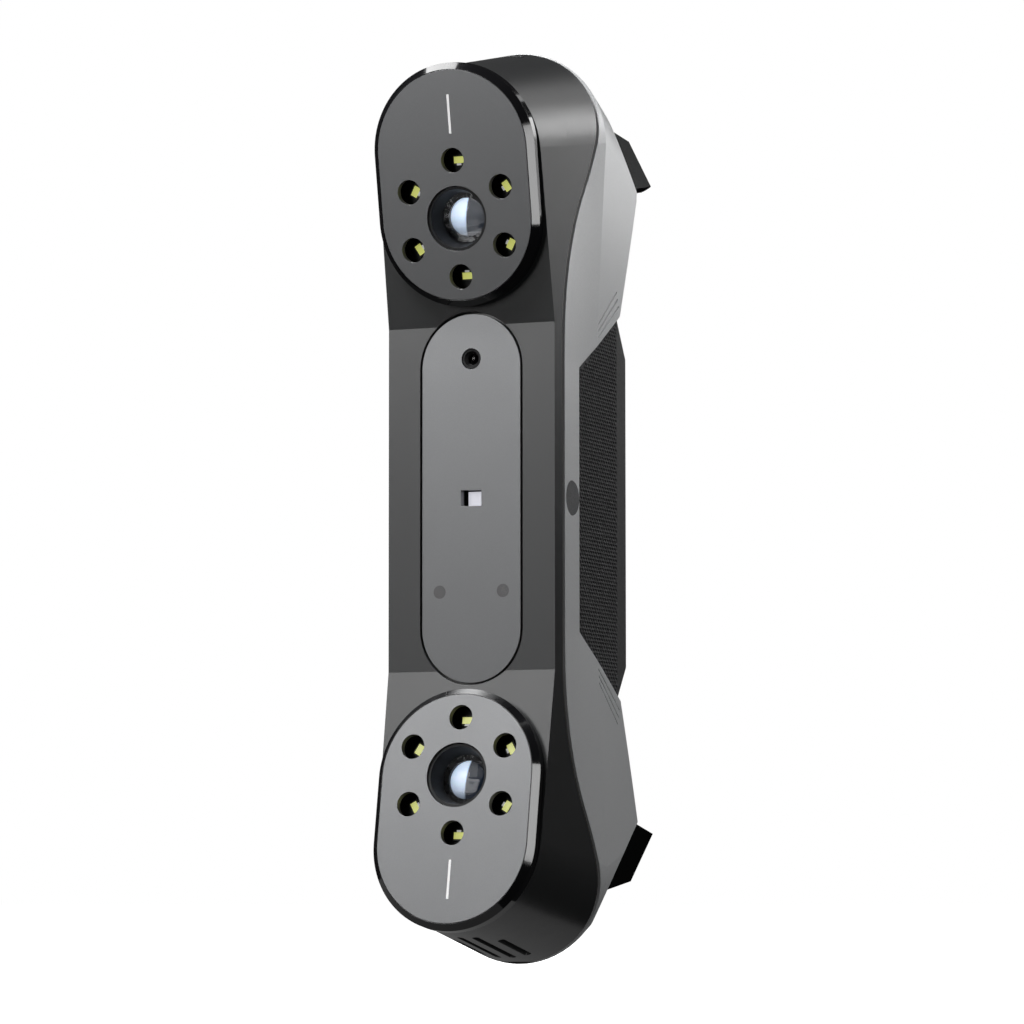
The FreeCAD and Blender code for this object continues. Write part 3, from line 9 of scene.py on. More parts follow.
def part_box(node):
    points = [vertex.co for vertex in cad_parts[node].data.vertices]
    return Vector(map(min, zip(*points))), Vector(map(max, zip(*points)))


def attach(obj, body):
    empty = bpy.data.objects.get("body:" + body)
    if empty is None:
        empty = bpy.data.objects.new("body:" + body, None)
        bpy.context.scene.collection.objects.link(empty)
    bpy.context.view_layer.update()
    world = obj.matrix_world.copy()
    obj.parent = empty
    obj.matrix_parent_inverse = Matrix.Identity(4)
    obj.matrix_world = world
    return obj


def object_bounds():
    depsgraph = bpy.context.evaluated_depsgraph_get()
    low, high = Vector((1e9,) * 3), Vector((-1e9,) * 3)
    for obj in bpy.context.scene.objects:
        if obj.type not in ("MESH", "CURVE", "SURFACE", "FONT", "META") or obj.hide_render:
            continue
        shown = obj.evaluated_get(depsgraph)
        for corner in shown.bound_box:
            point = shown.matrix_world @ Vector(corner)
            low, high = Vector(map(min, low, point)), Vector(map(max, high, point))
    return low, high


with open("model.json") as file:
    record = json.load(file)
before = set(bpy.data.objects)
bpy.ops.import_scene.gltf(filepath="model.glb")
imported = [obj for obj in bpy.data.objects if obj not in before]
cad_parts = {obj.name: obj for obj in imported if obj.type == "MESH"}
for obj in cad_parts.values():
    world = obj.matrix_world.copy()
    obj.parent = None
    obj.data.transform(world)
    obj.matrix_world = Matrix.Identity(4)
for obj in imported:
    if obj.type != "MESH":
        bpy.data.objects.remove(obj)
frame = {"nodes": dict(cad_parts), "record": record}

# The looks of the handheld scanner: a finish for every CAD piece, and the small details that the CAD
# leaves out, such as the grip's diamond texture, the key symbols and the connector's contacts.
# Lengths are in metres. MM turns a size in millimetres into metres.

MM = 0.001
CAD_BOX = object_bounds()
NODES = frame["nodes"]


# ---- shader sums ----------------------------------------------------------------------------------

WEAR_SPREAD = 6      # how far the rubbed look reaches from an edge


class Value:
    """A socket of a material, on which + - * / and > add Math nodes."""

    def __init__(self, finish, socket):
        self.finish = finish
        self.socket = socket

    def maths(self, operation, first, second):
        return self.finish.node("ShaderNodeMath", {"operation": operation}, {0: first, 1: second})

    def __add__(self, other):
        return self.maths("ADD", self, other)

    __radd__ = __add__

    def __sub__(self, other):
        return self.maths("SUBTRACT", self, other)

    def __rsub__(self, other):
        return self.maths("SUBTRACT", other, self)

    def __mul__(self, other):
        return self.maths("MULTIPLY", self, other)

    __rmul__ = __mul__

    def __truediv__(self, other):
        return self.maths("DIVIDE", self, other)

    def __gt__(self, other):
        return self.maths("GREATER_THAN", self, other)

    def clipped(self):
        """Held between 0 and 1."""
        return self.finish.node("ShaderNodeClamp", {}, {"Value": self})

    def swing(self, amount):
        """A noise about zero, by an amount from its lowest to its highest."""
        return (self - 0.5) * amount


class Finish:
    """A node material in the making."""

    def __init__(self, name):
        self.material = bpy.data.materials.new(name)
        self.material.use_nodes = True
        self.tree = self.material.node_tree
        self.tree.nodes.clear()

    def node(self, kind, settings, inputs, output=0):
        """Add a node: its settings first, then the values or links of its sockets."""
        node = self.tree.nodes.new(kind)
        for name, setting in settings.items():
            setattr(node, name, setting)
        for name, value in inputs.items():
            if isinstance(value, Value):
                self.tree.links.new(value.socket, node.inputs[name])
            else:
                node.inputs[name].default_value = value
        return Value(self, node.outputs[output]) if node.outputs else node

    def spot(self):
        return self.node("ShaderNodeTexCoord", {}, {}, "Object")

    def noise(self, size, detail=2.0, stretch=(1, 1, 1)):
        """Cloudy noise whose spots are about size across."""
        scale = tuple(1 / (size * way) for way in stretch)
        place = self.node("ShaderNodeMapping", {}, {"Vector": self.spot(), "Scale": scale})
        return self.node("ShaderNodeTexNoise", {}, {"Vector": place, "Scale": 1.0, "Detail": detail})

    def cells(self, size, feature="F1", output="Distance"):
        """Round cells about size across."""
        inputs = {"Vector": self.spot(), "Scale": 1 / size}
        return self.node("ShaderNodeTexVoronoi", {"feature": feature}, inputs, output)

    def blend(self, share, first, second):
        """A colour between two colours."""
        first, second = ((*c, 1) if isinstance(c, tuple) else c for c in (first, second))
        inputs = {0: share, 6: first, 7: second}
        return self.node("ShaderNodeMix", {"data_type": "RGBA"}, inputs, 2)

    def dot(self, first, second):
        """The dot product of two vectors."""
        inputs = {0: first, 1: second}
        return self.node("ShaderNodeVectorMath", {"operation": "DOT_PRODUCT"}, inputs, "Value")

    def soft_edges(self, radius):
        """The normal with every edge rounded to a radius."""
        return self.node("ShaderNodeBevel", {"samples": 4}, {"Radius": radius})

    def edge_wear(self, rounded):
        """1 along edges and 0 on flat faces, from the rounded normal."""
        flat = self.node("ShaderNodeNewGeometry", {}, {}, "Normal")
        return ((1 - self.dot(rounded, flat)) * WEAR_SPREAD).clipped()

    def relief(self, height, depth, over=None):
        """A bump of a real depth, over another normal."""
        inputs = {"Height": height, "Distance": depth, "Strength": 1.0}
        if over is not None:
            inputs["Normal"] = over
        return self.node("ShaderNodeBump", {}, inputs)

    def surface(self, **inputs):
        """The shader itself. Names are Principled BSDF inputs with _ for spaces."""
        inputs = {name.replace("_", " "): value for name, value in inputs.items()}
        for name, value in inputs.items():
            if isinstance(value, tuple) and len(value) == 3:
                inputs[name] = (*value, 1)
        shader = self.node("ShaderNodeBsdfPrincipled", {}, inputs)
        self.node("ShaderNodeOutputMaterial", {}, {"Surface": shader})
        return self.material


# ---- finishes -------------------------------------------------------------------------------------

GLOSS_CLOUDS = 9 * MM        # patches of slightly different gloss on a moulding
PAINT_CLOUDS = 14 * MM
PAINT_PEEL = 0.6 * MM        # the orange peel of sprayed paint
PAINT_RELIEF = 0.0012 * MM
WIPED_EDGE = 0.12 * MM
WIPED_HAIRS = 0.25 * MM      # across; they run about thirty times as long
WIPED_SMEARS = 6 * MM
WIPED_RELIEF = 0.0004 * MM
RUBBER_EDGE = 0.2 * MM
RUBBER_DUST = 7 * MM
RUBBER_GRAIN = 0.1 * MM
GLASS_DUST = 0.9 * MM
ELEMENT_DUST = 0.7 * MM
PHOSPHOR_GRAIN = 0.12 * MM
SILICONE_FILL = 1.2 * MM
BOARD_TRACKS = 420.0         # a metre
BOARD_PADS = 1.9 * MM
BOARD_BLOTCHES = 5 * MM
BOARD_RELIEF = 0.03 * MM
METAL_EDGE = 0.08 * MM
METAL_MARKS = 0.12 * MM
METAL_TARNISH = 4 * MM
METAL_RELIEF = 0.003 * MM
INLAY_GRAIN = 0.2 * MM
INLAY_RELIEF = 0.004 * MM
GUIDE_GRAIN = 0.3 * MM
GUIDE_RELIEF = 0.01 * MM


def shaded(colour, share):
    """A colour made darker or lighter."""
    return tuple(channel * share for channel in colour)


def moulded(name, colour, rough, grain=0.12, depth=0.006, edge=0.15, worn=0.25, coat=0.0):
    """Moulded plastic: spark-eroded grain, cloudy gloss, and edges rubbed a little lighter."""
    finish = Finish(name)
    rounded = finish.soft_edges(edge * MM)
    wear = finish.edge_wear(rounded)
    clouds = finish.noise(GLOSS_CLOUDS, 3)
    speckle = finish.noise(grain * MM, 2)
    pale = tuple(channel + worn * 0.08 for channel in colour)
    shade = finish.blend(clouds, shaded(colour, 0.92), colour)
    return finish.surface(
        Base_Color=finish.blend(wear * worn, shade, pale),
        Roughness=rough + clouds.swing(0.08) + speckle.swing(0.06) - wear * 0.06,
        Normal=finish.relief(speckle, depth * MM, rounded),
        Coat_Weight=coat,
        Coat_Roughness=0.25,
    )


def metal_paint(name, colour, rough, metallic, flake=0.10, edge=0.15):
    """Satin paint with metal flakes, smoothed over the edges."""
    finish = Finish(name)
    rounded = finish.soft_edges(edge * MM)
    wear = finish.edge_wear(rounded)
    flakes = finish.cells(flake * MM, output="Color")
    glint = finish.node("ShaderNodeSeparateColor", {}, {"Color": flakes}, 0)
    clouds = finish.noise(PAINT_CLOUDS, 2)
    shade = finish.blend(glint, shaded(colour, 0.93), shaded(colour, 1.05))
    bright = tuple(min(1.0, channel) for channel in shaded(colour, 1.25))
    return finish.surface(
        Base_Color=finish.blend(wear * 0.4, shade, bright),
        Metallic=metallic + glint.swing(0.08),
        Roughness=rough + clouds.swing(0.05) + glint.swing(0.05),
        Normal=finish.relief(glint + finish.noise(PAINT_PEEL) * 0.6, PAINT_RELIEF, rounded),
        Coat_Weight=0.15,
        Coat_Roughness=0.18,
    )


def polished_black(name):
    """Gloss black moulding with the faint hairlines of wiping."""
    finish = Finish(name)
    rounded = finish.soft_edges(WIPED_EDGE)
    hairs = finish.noise(WIPED_HAIRS, 3, stretch=(1, 1, 30))
    smears = finish.noise(WIPED_SMEARS, 3)
    return finish.surface(
        Base_Color=finish.blend(smears, (0.006, 0.006, 0.007), (0.010, 0.010, 0.011)),
        Roughness=0.05 + hairs * 0.05 + smears * 0.05,
        Normal=finish.relief(hairs, WIPED_RELIEF, rounded),
        Coat_Weight=0.6,
        Coat_Roughness=0.03,
    )


def rubber(name, colour, rough, weave=0.55, depth=0.05, shine=0.4):
    """Elastomer: a fine crossed texture with painted shade in its lows, dusty patches and slightly
    shiny highs.
    """
    finish = Finish(name)
    rounded = finish.soft_edges(RUBBER_EDGE)
    cross = finish.cells(weave * MM, feature="SMOOTH_F1")
    dust = finish.noise(RUBBER_DUST, 4)
    fine = finish.noise(RUBBER_GRAIN, 2)
    shade = finish.blend(dust, colour, tuple(channel * 1.5 + 0.004 for channel in colour))
    return finish.surface(
        # The crossed texture's lows are painted darker: painted shade in the recesses.
        Base_Color=finish.blend(cross, shade, shaded(colour, 0.6)),
        Roughness=rough + dust.swing(0.10) + cross * 0.08,
        Specular_IOR_Level=shine,
        Normal=finish.relief(fine * 0.3 - cross, depth * MM, rounded),
    )


def lens_glass(name, tint):
    """Optical glass with a coating that takes most of its reflections away."""
    finish = Finish(name)
    dust = finish.noise(GLASS_DUST, 4)
    return finish.surface(
        Base_Color=finish.blend(dust, tint, shaded(tint, 0.97)),
        Roughness=(dust - 0.55).clipped() * 0.06,
        Transmission_Weight=1.0,
        IOR=1.45,
        Specular_IOR_Level=0.12,
    )


# A reflection painted on the element: a pale round patch cut off by one straight side, in its colour
# and its glow. Its lengths are shares of the element's radius.
PAINTED_REFLECTION_CENTRE = (-0.16, 0.06)     # across and up the element
PAINTED_REFLECTION_REACH = 0.85               # how far round the centre it shows, squared
PAINTED_REFLECTION_SQUASH = 0.86              # below 1 makes the patch taller than wide
PAINTED_REFLECTION_EDGE = 0.12                # from the centre to the straight side
PAINTED_REFLECTION_LEAN = 0.10                # of that side, for each radius up
PAINTED_REFLECTION_CRISPNESS = (9, 11)        # of the round side and of the straight side
PAINTED_REFLECTION_FADE = (0.95, 0.75)        # strength at the centre, and its gain for each radius up


def lens_front_with_painted_reflection(name, colour, painted_reflection_tint, place, radius):
    """The dark front of a lens group, with a pale reflection painted on one side of the element."""
    finish = Finish(name)
    dust = finish.noise(ELEMENT_DUST, 3)
    turn = place.to_3x3().transposed()
    centre = place.to_translation()
    spot = finish.spot()

    def along(axis):
        """How far along one of the element's own axes from the painted reflection's centre, in radii.
        """
        start = centre.dot(turn[axis]) + PAINTED_REFLECTION_CENTRE[axis] * radius
        return (finish.dot(spot, turn[axis]) - start) / radius

    across, up = along(0), along(1)
    round_side = PAINTED_REFLECTION_REACH - (across * across + up * up * PAINTED_REFLECTION_SQUASH)
    straight_side = PAINTED_REFLECTION_EDGE + up * PAINTED_REFLECTION_LEAN - across
    disc = (round_side * PAINTED_REFLECTION_CRISPNESS[0]).clipped()
    side = (straight_side * PAINTED_REFLECTION_CRISPNESS[1]).clipped()
    fade = (PAINTED_REFLECTION_FADE[0] + up * PAINTED_REFLECTION_FADE[1]).clipped()
    # The pale patch is a painted reflection, fixed on the element; it goes into the colour and the
    # glow.
    shade = finish.blend(disc * side * fade, colour, painted_reflection_tint)
    return finish.surface(
        Base_Color=shade,
        Roughness=0.04 + (dust - 0.5).clipped() * 0.08,
        Specular_IOR_Level=0.15,
        Emission_Color=shade,
        Emission_Strength=0.7,
    )


def phosphor(name):
    """Yellow phosphor under clear silicone, grainy and unevenly filled, with a painted glow."""
    finish = Finish(name)
    grain = finish.noise(PHOSPHOR_GRAIN, 3)
    fill = finish.noise(SILICONE_FILL, 2)
    colour = finish.blend(grain, (0.62, 0.66, 0.10), (0.86, 0.88, 0.26))
    return finish.surface(
        Base_Color=finish.blend(fill * 0.4, colour, (0.95, 0.96, 0.55)),
        Roughness=0.28 + grain * 0.2,
        # The phosphor's glow is painted light; the light packages are not lit.
        Emission_Color=colour,
        Emission_Strength=0.5,
        Coat_Weight=0.6,
        Coat_Roughness=0.08,
    )


def circuit_board(name):
    """Green solder mask over copper: tracks on a grid, and small tinned pads."""
    finish = Finish(name)
    spot = finish.spot()
    tracks = finish.node("ShaderNodeTexBrick", {"offset": 0.5}, {
        "Vector": spot, "Scale": BOARD_TRACKS, "Mortar Size": 0.06, "Mortar Smooth": 0.3,
    }, "Fac")
    pads = finish.cells(BOARD_PADS) > 0.62
    blotch = finish.noise(BOARD_BLOTCHES, 2)
    mask = finish.blend(blotch, (0.006, 0.050, 0.024), (0.010, 0.075, 0.036))
    tracked = finish.blend(tracks, mask, (0.020, 0.130, 0.060))
    return finish.surface(
        Base_Color=finish.blend(pads, tracked, (0.62, 0.60, 0.56)),
        Metallic=pads * 0.9,
        Roughness=0.35 + blotch * 0.1,
        Normal=finish.relief(tracks + pads, BOARD_RELIEF),
    )


def metal(name, colour, rough, brushed=(1, 1, 12)):
    """Bare metal with the tool marks running one way."""
    finish = Finish(name)
    rounded = finish.soft_edges(METAL_EDGE)
    marks = finish.noise(METAL_MARKS, 3, stretch=brushed)
    tarnish = finish.noise(METAL_TARNISH, 3)
    return finish.surface(
        Base_Color=finish.blend(tarnish, shaded(colour, 0.85), colour),
        Metallic=1.0,
        Roughness=rough + marks.swing(0.18) + tarnish.swing(0.08),
        Normal=finish.relief(marks, METAL_RELIEF, rounded),
    )


def inlay(name, colour, glow=0.0):
    """Paint filled into a groove or printed on a key, a little uneven."""
    finish = Finish(name)
    grain = finish.noise(INLAY_GRAIN, 3)
    shade = finish.blend(grain, shaded(colour, 0.9), colour)
    return finish.surface(
        Base_Color=shade,
        Roughness=0.42 + grain * 0.15,
        Normal=finish.relief(grain, INLAY_RELIEF),
        # A glow above zero is painted light on paint or print that is not a lamp.
        Emission_Color=shade,
        Emission_Strength=glow,
    )


def frosted_guide(name, colour, glow):
    """A frosted light guide, brighter in its middle grain."""
    finish = Finish(name)
    grain = finish.noise(GUIDE_GRAIN, 3)
    shade = finish.blend(grain, shaded(colour, 0.8), colour)
    return finish.surface(
        Base_Color=shade,
        Roughness=0.35 + grain * 0.2,
        Normal=finish.relief(grain, GUIDE_RELIEF),
        Emission_Color=shade,
        Emission_Strength=glow,
        Coat_Weight=0.3,
    )


FINISHES = {
    "shell_black": moulded("satin_front_shell", (0.036, 0.037, 0.038), 0.34, coat=0.5),
    "shell_grey": metal_paint("satin_rear_shell", (0.76, 0.77, 0.78), 0.38, 0.15),
    "grip_rubber": rubber("grip_elastomer", (0.026, 0.026, 0.027), 0.62),
    "bezel_gloss": polished_black("head_bezel_gloss"),
    "plate_grey": metal_paint(
        "face_plate_satin", (0.20, 0.203, 0.208), 0.33, 0.6, flake=0.07, edge=0.10),
    # The index marks' paint glows a little: painted light.
    "mark_white": inlay("index_mark_paint", (0.90, 0.90, 0.90), glow=0.35),
    "lens_glass": lens_glass("front_lens_glass", (0.97, 0.98, 1.0)),
    "barrel_black": moulded(
        "barrel_matt_black", (0.007, 0.007, 0.008), 0.55, depth=0.004, edge=0.06, worn=0.1),
    "board_green": circuit_board("circuit_board_mask"),
    "light_body": moulded("light_package_ceramic", (0.03, 0.03, 0.029), 0.5, edge=0.04, worn=0.3),
    "phosphor": phosphor("light_phosphor"),
    "chip_black": moulded("chip_moulding", (0.03, 0.03, 0.033), 0.5, edge=0.05),
    "aluminium": metal("blasted_aluminium", (0.74, 0.75, 0.76), 0.38, brushed=(1, 1, 2)),
    "steel": metal("plated_steel", (0.62, 0.62, 0.62), 0.28),
    "steel_black": metal("black_oxide_steel", (0.06, 0.06, 0.065), 0.35),
    "brass": metal("turned_brass", (0.78, 0.60, 0.28), 0.24, brushed=(8, 1, 1)),
    "soft_rubber": rubber("plug_silicone", (0.12, 0.12, 0.124), 0.5, weave=0.3, depth=0.01),
    "foot_rubber": rubber(
        "foot_elastomer", (0.006, 0.006, 0.006), 0.5, weave=0.3, depth=0.01, shine=0.05),
    "panel_black": moulded("panel_satin_black", (0.020, 0.020, 0.022), 0.28, grain=0.2, coat=0.4),
    "button_grey": moulded("key_cap_satin", (0.085, 0.086, 0.09), 0.42, worn=0.4),
    "light_guide": frosted_guide("frosted_light_guide", (0.66, 0.80, 0.70), 0.25),
    "ir_window": moulded(
        "infrared_window_smoke", (0.13, 0.128, 0.131), 0.26, depth=0.002, edge=0.05),
    # The projector lens glows a little: painted light, since the projector is not lit.
    "projector_lens": inlay("projector_lens_coating", (0.86, 0.86, 0.94), glow=0.6),
}
WHITE_PRINT = inlay("key_symbol_print", (0.80, 0.80, 0.80))
# The light pads glow a little: a painted highlight beside each light.
PAD_WHITE = inlay("light_pad_ceramic", (0.88, 0.88, 0.86), glow=0.30)
# The grip's studs are a lighter copy of the grip's rubber: a painted highlight on the studs.
STUDS_PAINTED_LIGHTER = rubber("grip_stud_painted_lighter", (0.085, 0.085, 0.087), 0.6)
CONTACT_GOLD = metal("gold_contacts", (0.85, 0.62, 0.25), 0.2)
LAMP_BOARD = moulded(
    "lamp_board_black_mask", (0.010, 0.010, 0.011), 0.45, depth=0.004, edge=0.05, worn=0.1)
OWN_FINISHES = {"upper_light_board": LAMP_BOARD, "lower_light_board": LAMP_BOARD}

for part in frame["record"]["subparts"]:
    slots = NODES[part["node"]].data.materials
    slots.clear()
    slots.append(OWN_FINISHES.get(part["node"], FINISHES[part["material_slot"]]))


# ---- places, worked out from the CAD pieces ---------------------------------------------------------

def corners(node):
    return [vertex.co for vertex in NODES[node].data.vertices]


def facing(node, direction, least=0.9):
    """The mean outward normal of a piece's faces that look about one way."""
    total = Vector()
    for face in NODES[node].data.polygons:
        if face.normal.dot(direction) > least:
            total += face.normal * face.area
    return total.normalized()


def reach_along(node, direction):
    """How low and how high a piece reaches along a direction."""
    reaches = [corner.dot(direction) for corner in corners(node)]
    return min(reaches), max(reaches)


def add_piece(name, mesh, material, body):
    mesh.materials.clear()
    mesh.materials.append(material)
    piece = bpy.data.objects.new(name, mesh)
    bpy.context.scene.collection.objects.link(piece)
    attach(piece, body)
    return piece


def finish_mesh(work, name, place=None, smooth=False):
    """Turn a bmesh into a mesh in its place, closed doubles merged and normals outwards."""
    bmesh.ops.remove_doubles(work, verts=work.verts, dist=1e-7)
    bmesh.ops.recalc_face_normals(work, faces=work.faces)
    mesh = bpy.data.meshes.new(name)
    work.to_mesh(mesh)
    work.free()
    if place is not None:
        mesh.transform(place)
    for face in mesh.polygons:
        face.use_smooth = smooth
    return mesh


def prism(work, outline, low, high):
    """Add a closed prism: an outline of (x, y) points from z = low to z = high."""
    bottom = [work.verts.new((x, y, low)) for x, y in outline]
    top = [work.verts.new((x, y, high)) for x, y in outline]
    work.faces.new(list(reversed(bottom)))
    work.faces.new(top)
    for number in range(len(outline)):
        after = (number + 1) % len(outline)
        work.faces.new([bottom[number], bottom[after], top[after], top[number]])


def turned(work, outline, steps):
    """Add a closed solid turned about Z from a half outline of (radius, z) points."""
    rings = []
    for radius, height in outline:
        if radius == 0:
            rings.append([work.verts.new((0, 0, height))])
            continue
        ring = []
        for step in range(steps):
            angle = math.tau * step / steps
            ring.append(work.verts.new((radius * math.cos(angle), radius * math.sin(angle), height)))
        rings.append(ring)
    for lower, upper in zip(rings, rings[1:]):
        for step in range(steps):
            after = (step + 1) % steps
            if len(lower) == 1:
                work.faces.new([lower[0], upper[after], upper[step]])
            elif len(upper) == 1:
                work.faces.new([lower[step], lower[after], upper[0]])
            else:
                work.faces.new([lower[step], lower[after], upper[after], upper[step]])


def frame_of(origin, outward, up):
    """A place with Z outwards and Y up the piece."""
    outward = outward.normalized()
    across = up.cross(outward).normalized()
    turn = Matrix((across, outward.cross(across), outward)).transposed().to_4x4()
    return Matrix.Translation(origin) @ turn


# ---- camera heads ---------------------------------------------------------------------------------

LENS_STEPS = 64
CAP_STEPS = 12
INNER_LENS_SHARE = 0.73      # of the front lens's radius
INNER_LENS_DROP = 0.3 * MM
INNER_LENS_CROWN = 0.8 * MM
INNER_LENS_EDGE = 0.8 * MM
# The lens front's own dark colour, and the colour of the reflection painted on it.
LENS_FRONT_DARK = (0.006, 0.009, 0.016)
PAINTED_REFLECTION_COLOUR = (0.62, 0.74, 0.90)
PAD_LENGTH = 1.0 * MM
PAD_WIDTH = 0.42 * MM
PAD_HEIGHT = 0.12 * MM
PAD_INSET = 1.05 * MM
LIGHTS = 6


def head_place(side):
    """The middle of a head's light ring, on the light packages' top, looking outwards."""
    outward = facing(f"{side}_lens_plate", Vector((0, -1, 0)))
    points = corners(f"{side}_light_phosphors")
    middle = sum(points, Vector()) / len(points)
    up = Vector((0, 0, 1))
    return frame_of(middle, outward, up), points, middle


def inner_lens(side):
    """The lens group's own front, seen through the front lens."""
    place, _, middle = head_place(side)
    outward = place.to_3x3() @ Vector((0, 0, 1))
    back, _ = reach_along(f"{side}_camera_lens", outward)
    low, high = reach_along(f"{side}_camera_lens", Vector((1, 0, 0)))
    radius = (high - low) / 2 * INNER_LENS_SHARE
    apex = back - INNER_LENS_DROP - middle.dot(outward)
    ball = (radius ** 2 + INNER_LENS_CROWN ** 2) / (2 * INNER_LENS_CROWN)
    top = math.asin(radius / ball)
    cap = []
    for step in range(CAP_STEPS):
        angle = top * (1 - step / CAP_STEPS)
        cap.append((ball * math.sin(angle), apex - ball * (1 - math.cos(angle))))
    cap.append((0, apex))
    rim = cap[0][1] - INNER_LENS_EDGE
    work = bmesh.new()
    turned(work, [(0, rim), (radius, rim)] + cap, LENS_STEPS)
    mesh = finish_mesh(work, f"{side}_inner_lens", place, smooth=True)
    # The inner lens carries a painted reflection.
    painted_reflection_finish = lens_front_with_painted_reflection(f"{side}_lens_coating", LENS_FRONT_DARK, PAINTED_REFLECTION_COLOUR, place, radius)
    add_piece(f"{side}_inner_lens", mesh, painted_reflection_finish, "casing")


def light_pads(side):
    """A small pale electrode on the lens side of every light package, with a painted glow as its
    highlight.
    """
    place, points, middle = head_place(side)
    ring = sum((point - middle).length for point in points) / len(points)
    inner = ring - PAD_INSET
    work = bmesh.new()
    for number in range(LIGHTS):
        angle = math.radians(90 + 360 / LIGHTS * number)
        out = Vector((math.cos(angle), math.sin(angle)))
        along = Vector((-out.y, out.x))
        outline = []
        for r, t in ((-1, -1), (1, -1), (1, 1), (-1, 1)):
            spot = out * (inner + r * PAD_WIDTH / 2) + along * (t * PAD_LENGTH / 2)
            outline.append((spot.x, spot.y))
        prism(work, outline, -PAD_HEIGHT, PAD_HEIGHT)
    mesh = finish_mesh(work, f"{side}_light_pads", place)
    add_piece(f"{side}_light_pads", mesh, PAD_WHITE, "casing")


for side in ("upper", "lower"):
    inner_lens(side)
    light_pads(side)


# ---- grip texture ---------------------------------------------------------------------------------

KNURL_PITCH = 1.15 * MM
KNURL_HEIGHT = 0.28 * MM
KNURL_MARGIN = 0.9 * MM
KNURL_FILL = 0.90            # of the pitch, at a stud's foot
KNURL_TOP = 0.30             # of the foot, at a stud's flat top
LATTICE_SPAN = 0.14          # longer than the grip's face
LATTICE_LIFT = 0.01
LATTICE_RAY = 0.1


def knurl_tree():
    """Diamond studs on a lattice, wherever the face they stand on reaches, clear of its outline."""
    tree = bpy.data.node_groups.new("grip_diamonds", "GeometryNodeTree")
    face = tree.interface
    face.new_socket("Face", in_out="INPUT", socket_type="NodeSocketGeometry")
    for name in ("Pitch", "Height", "Margin", "Span"):
        face.new_socket(name, in_out="INPUT", socket_type="NodeSocketFloat")
    face.new_socket("Finish", in_out="INPUT", socket_type="NodeSocketMaterial")
    face.new_socket("Studs", in_out="OUTPUT", socket_type="NodeSocketGeometry")

    def node(kind, settings, inputs, output=0):
        made = tree.nodes.new(kind)
        for name, setting in settings.items():
            setattr(made, name, setting)
        for name, value in inputs.items():
            if hasattr(value, "is_linked"):
                tree.links.new(value, made.inputs[name])
            else:
                made.inputs[name].default_value = value
        return made.outputs[output]

    given = tree.nodes.new("NodeGroupInput").outputs
    count = node("ShaderNodeMath", {"operation": "DIVIDE"}, {0: given["Span"], 1: given["Pitch"]})
    grid = node("GeometryNodeMeshGrid", {}, {
        "Size X": given["Span"], "Size Y": given["Span"], "Vertices X": count, "Vertices Y": count,
    })
    diagonal = (0, 0, math.pi / 4)
    turned_grid = node("GeometryNodeTransform", {}, {"Geometry": grid, "Rotation": diagonal})
    lift = (0, 0, LATTICE_LIFT)
    raised = node("GeometryNodeTransform", {}, {"Geometry": turned_grid, "Translation": lift})
    hit = node("GeometryNodeRaycast", {}, {"Target Geometry": given["Face"], "Ray Length": LATTICE_RAY})
    spot = node("GeometryNodeInputPosition", {}, {})
    flat = node("ShaderNodeVectorMath", {"operation": "MULTIPLY"}, {0: spot, 1: (1, 1, 0)})
    near = node("GeometryNodeProximity", {"target_element": "EDGES"}, {
        0: given["Face"], "Source Position": flat,
    }, "Distance")
    inside = node("FunctionNodeCompare", {"operation": "GREATER_THAN"}, {0: near, 1: given["Margin"]})
    kept = node("FunctionNodeBooleanMath", {"operation": "AND"}, {0: hit, 1: inside})
    outside = node("FunctionNodeBooleanMath", {"operation": "NOT"}, {0: kept})
    points = node("GeometryNodeDeleteGeometry", {"domain": "POINT"}, {
        "Geometry": raised, "Selection": outside,
    })
    drop = (0, 0, -LATTICE_LIFT)
    lowered = node("GeometryNodeTransform", {}, {"Geometry": points, "Translation": drop})
    half = KNURL_FILL / math.sqrt(2)
    base = node("ShaderNodeMath", {"operation": "MULTIPLY"}, {0: given["Pitch"], 1: half})
    top = node("ShaderNodeMath", {"operation": "MULTIPLY"}, {0: base, 1: KNURL_TOP})
    stud = node("GeometryNodeMeshCone", {}, {
        "Vertices": 4, "Radius Bottom": base, "Radius Top": top, "Depth": given["Height"],
    })
    studs = node("GeometryNodeInstanceOnPoints", {}, {"Points": lowered, "Instance": stud})
    real = node("GeometryNodeRealizeInstances", {}, {"Geometry": studs})
    finished = node("GeometryNodeSetMaterial", {}, {"Geometry": real, "Material": given["Finish"]})
    tree.links.new(finished, tree.nodes.new("NodeGroupOutput").inputs["Studs"])
    return tree


def grown(name, mesh, tree, sizes):
    """The plain mesh that a geometry tree makes of a mesh, with the tree's inputs set by name."""
    holder = bpy.data.objects.new(name, mesh)
    bpy.context.scene.collection.objects.link(holder)
    modifier = holder.modifiers.new(name, "NODES")
    modifier.node_group = tree
    for item in tree.interface.items_tree:
        if item.in_out == "INPUT" and item.name in sizes:
            modifier[item.identifier] = sizes[item.name]
    result = holder.evaluated_get(bpy.context.evaluated_depsgraph_get())
    plain = bpy.data.meshes.new_from_object(result)
    bpy.data.objects.remove(holder)
    return plain


GRIP_LEAN = 0.09             # of the broad faces, towards the back


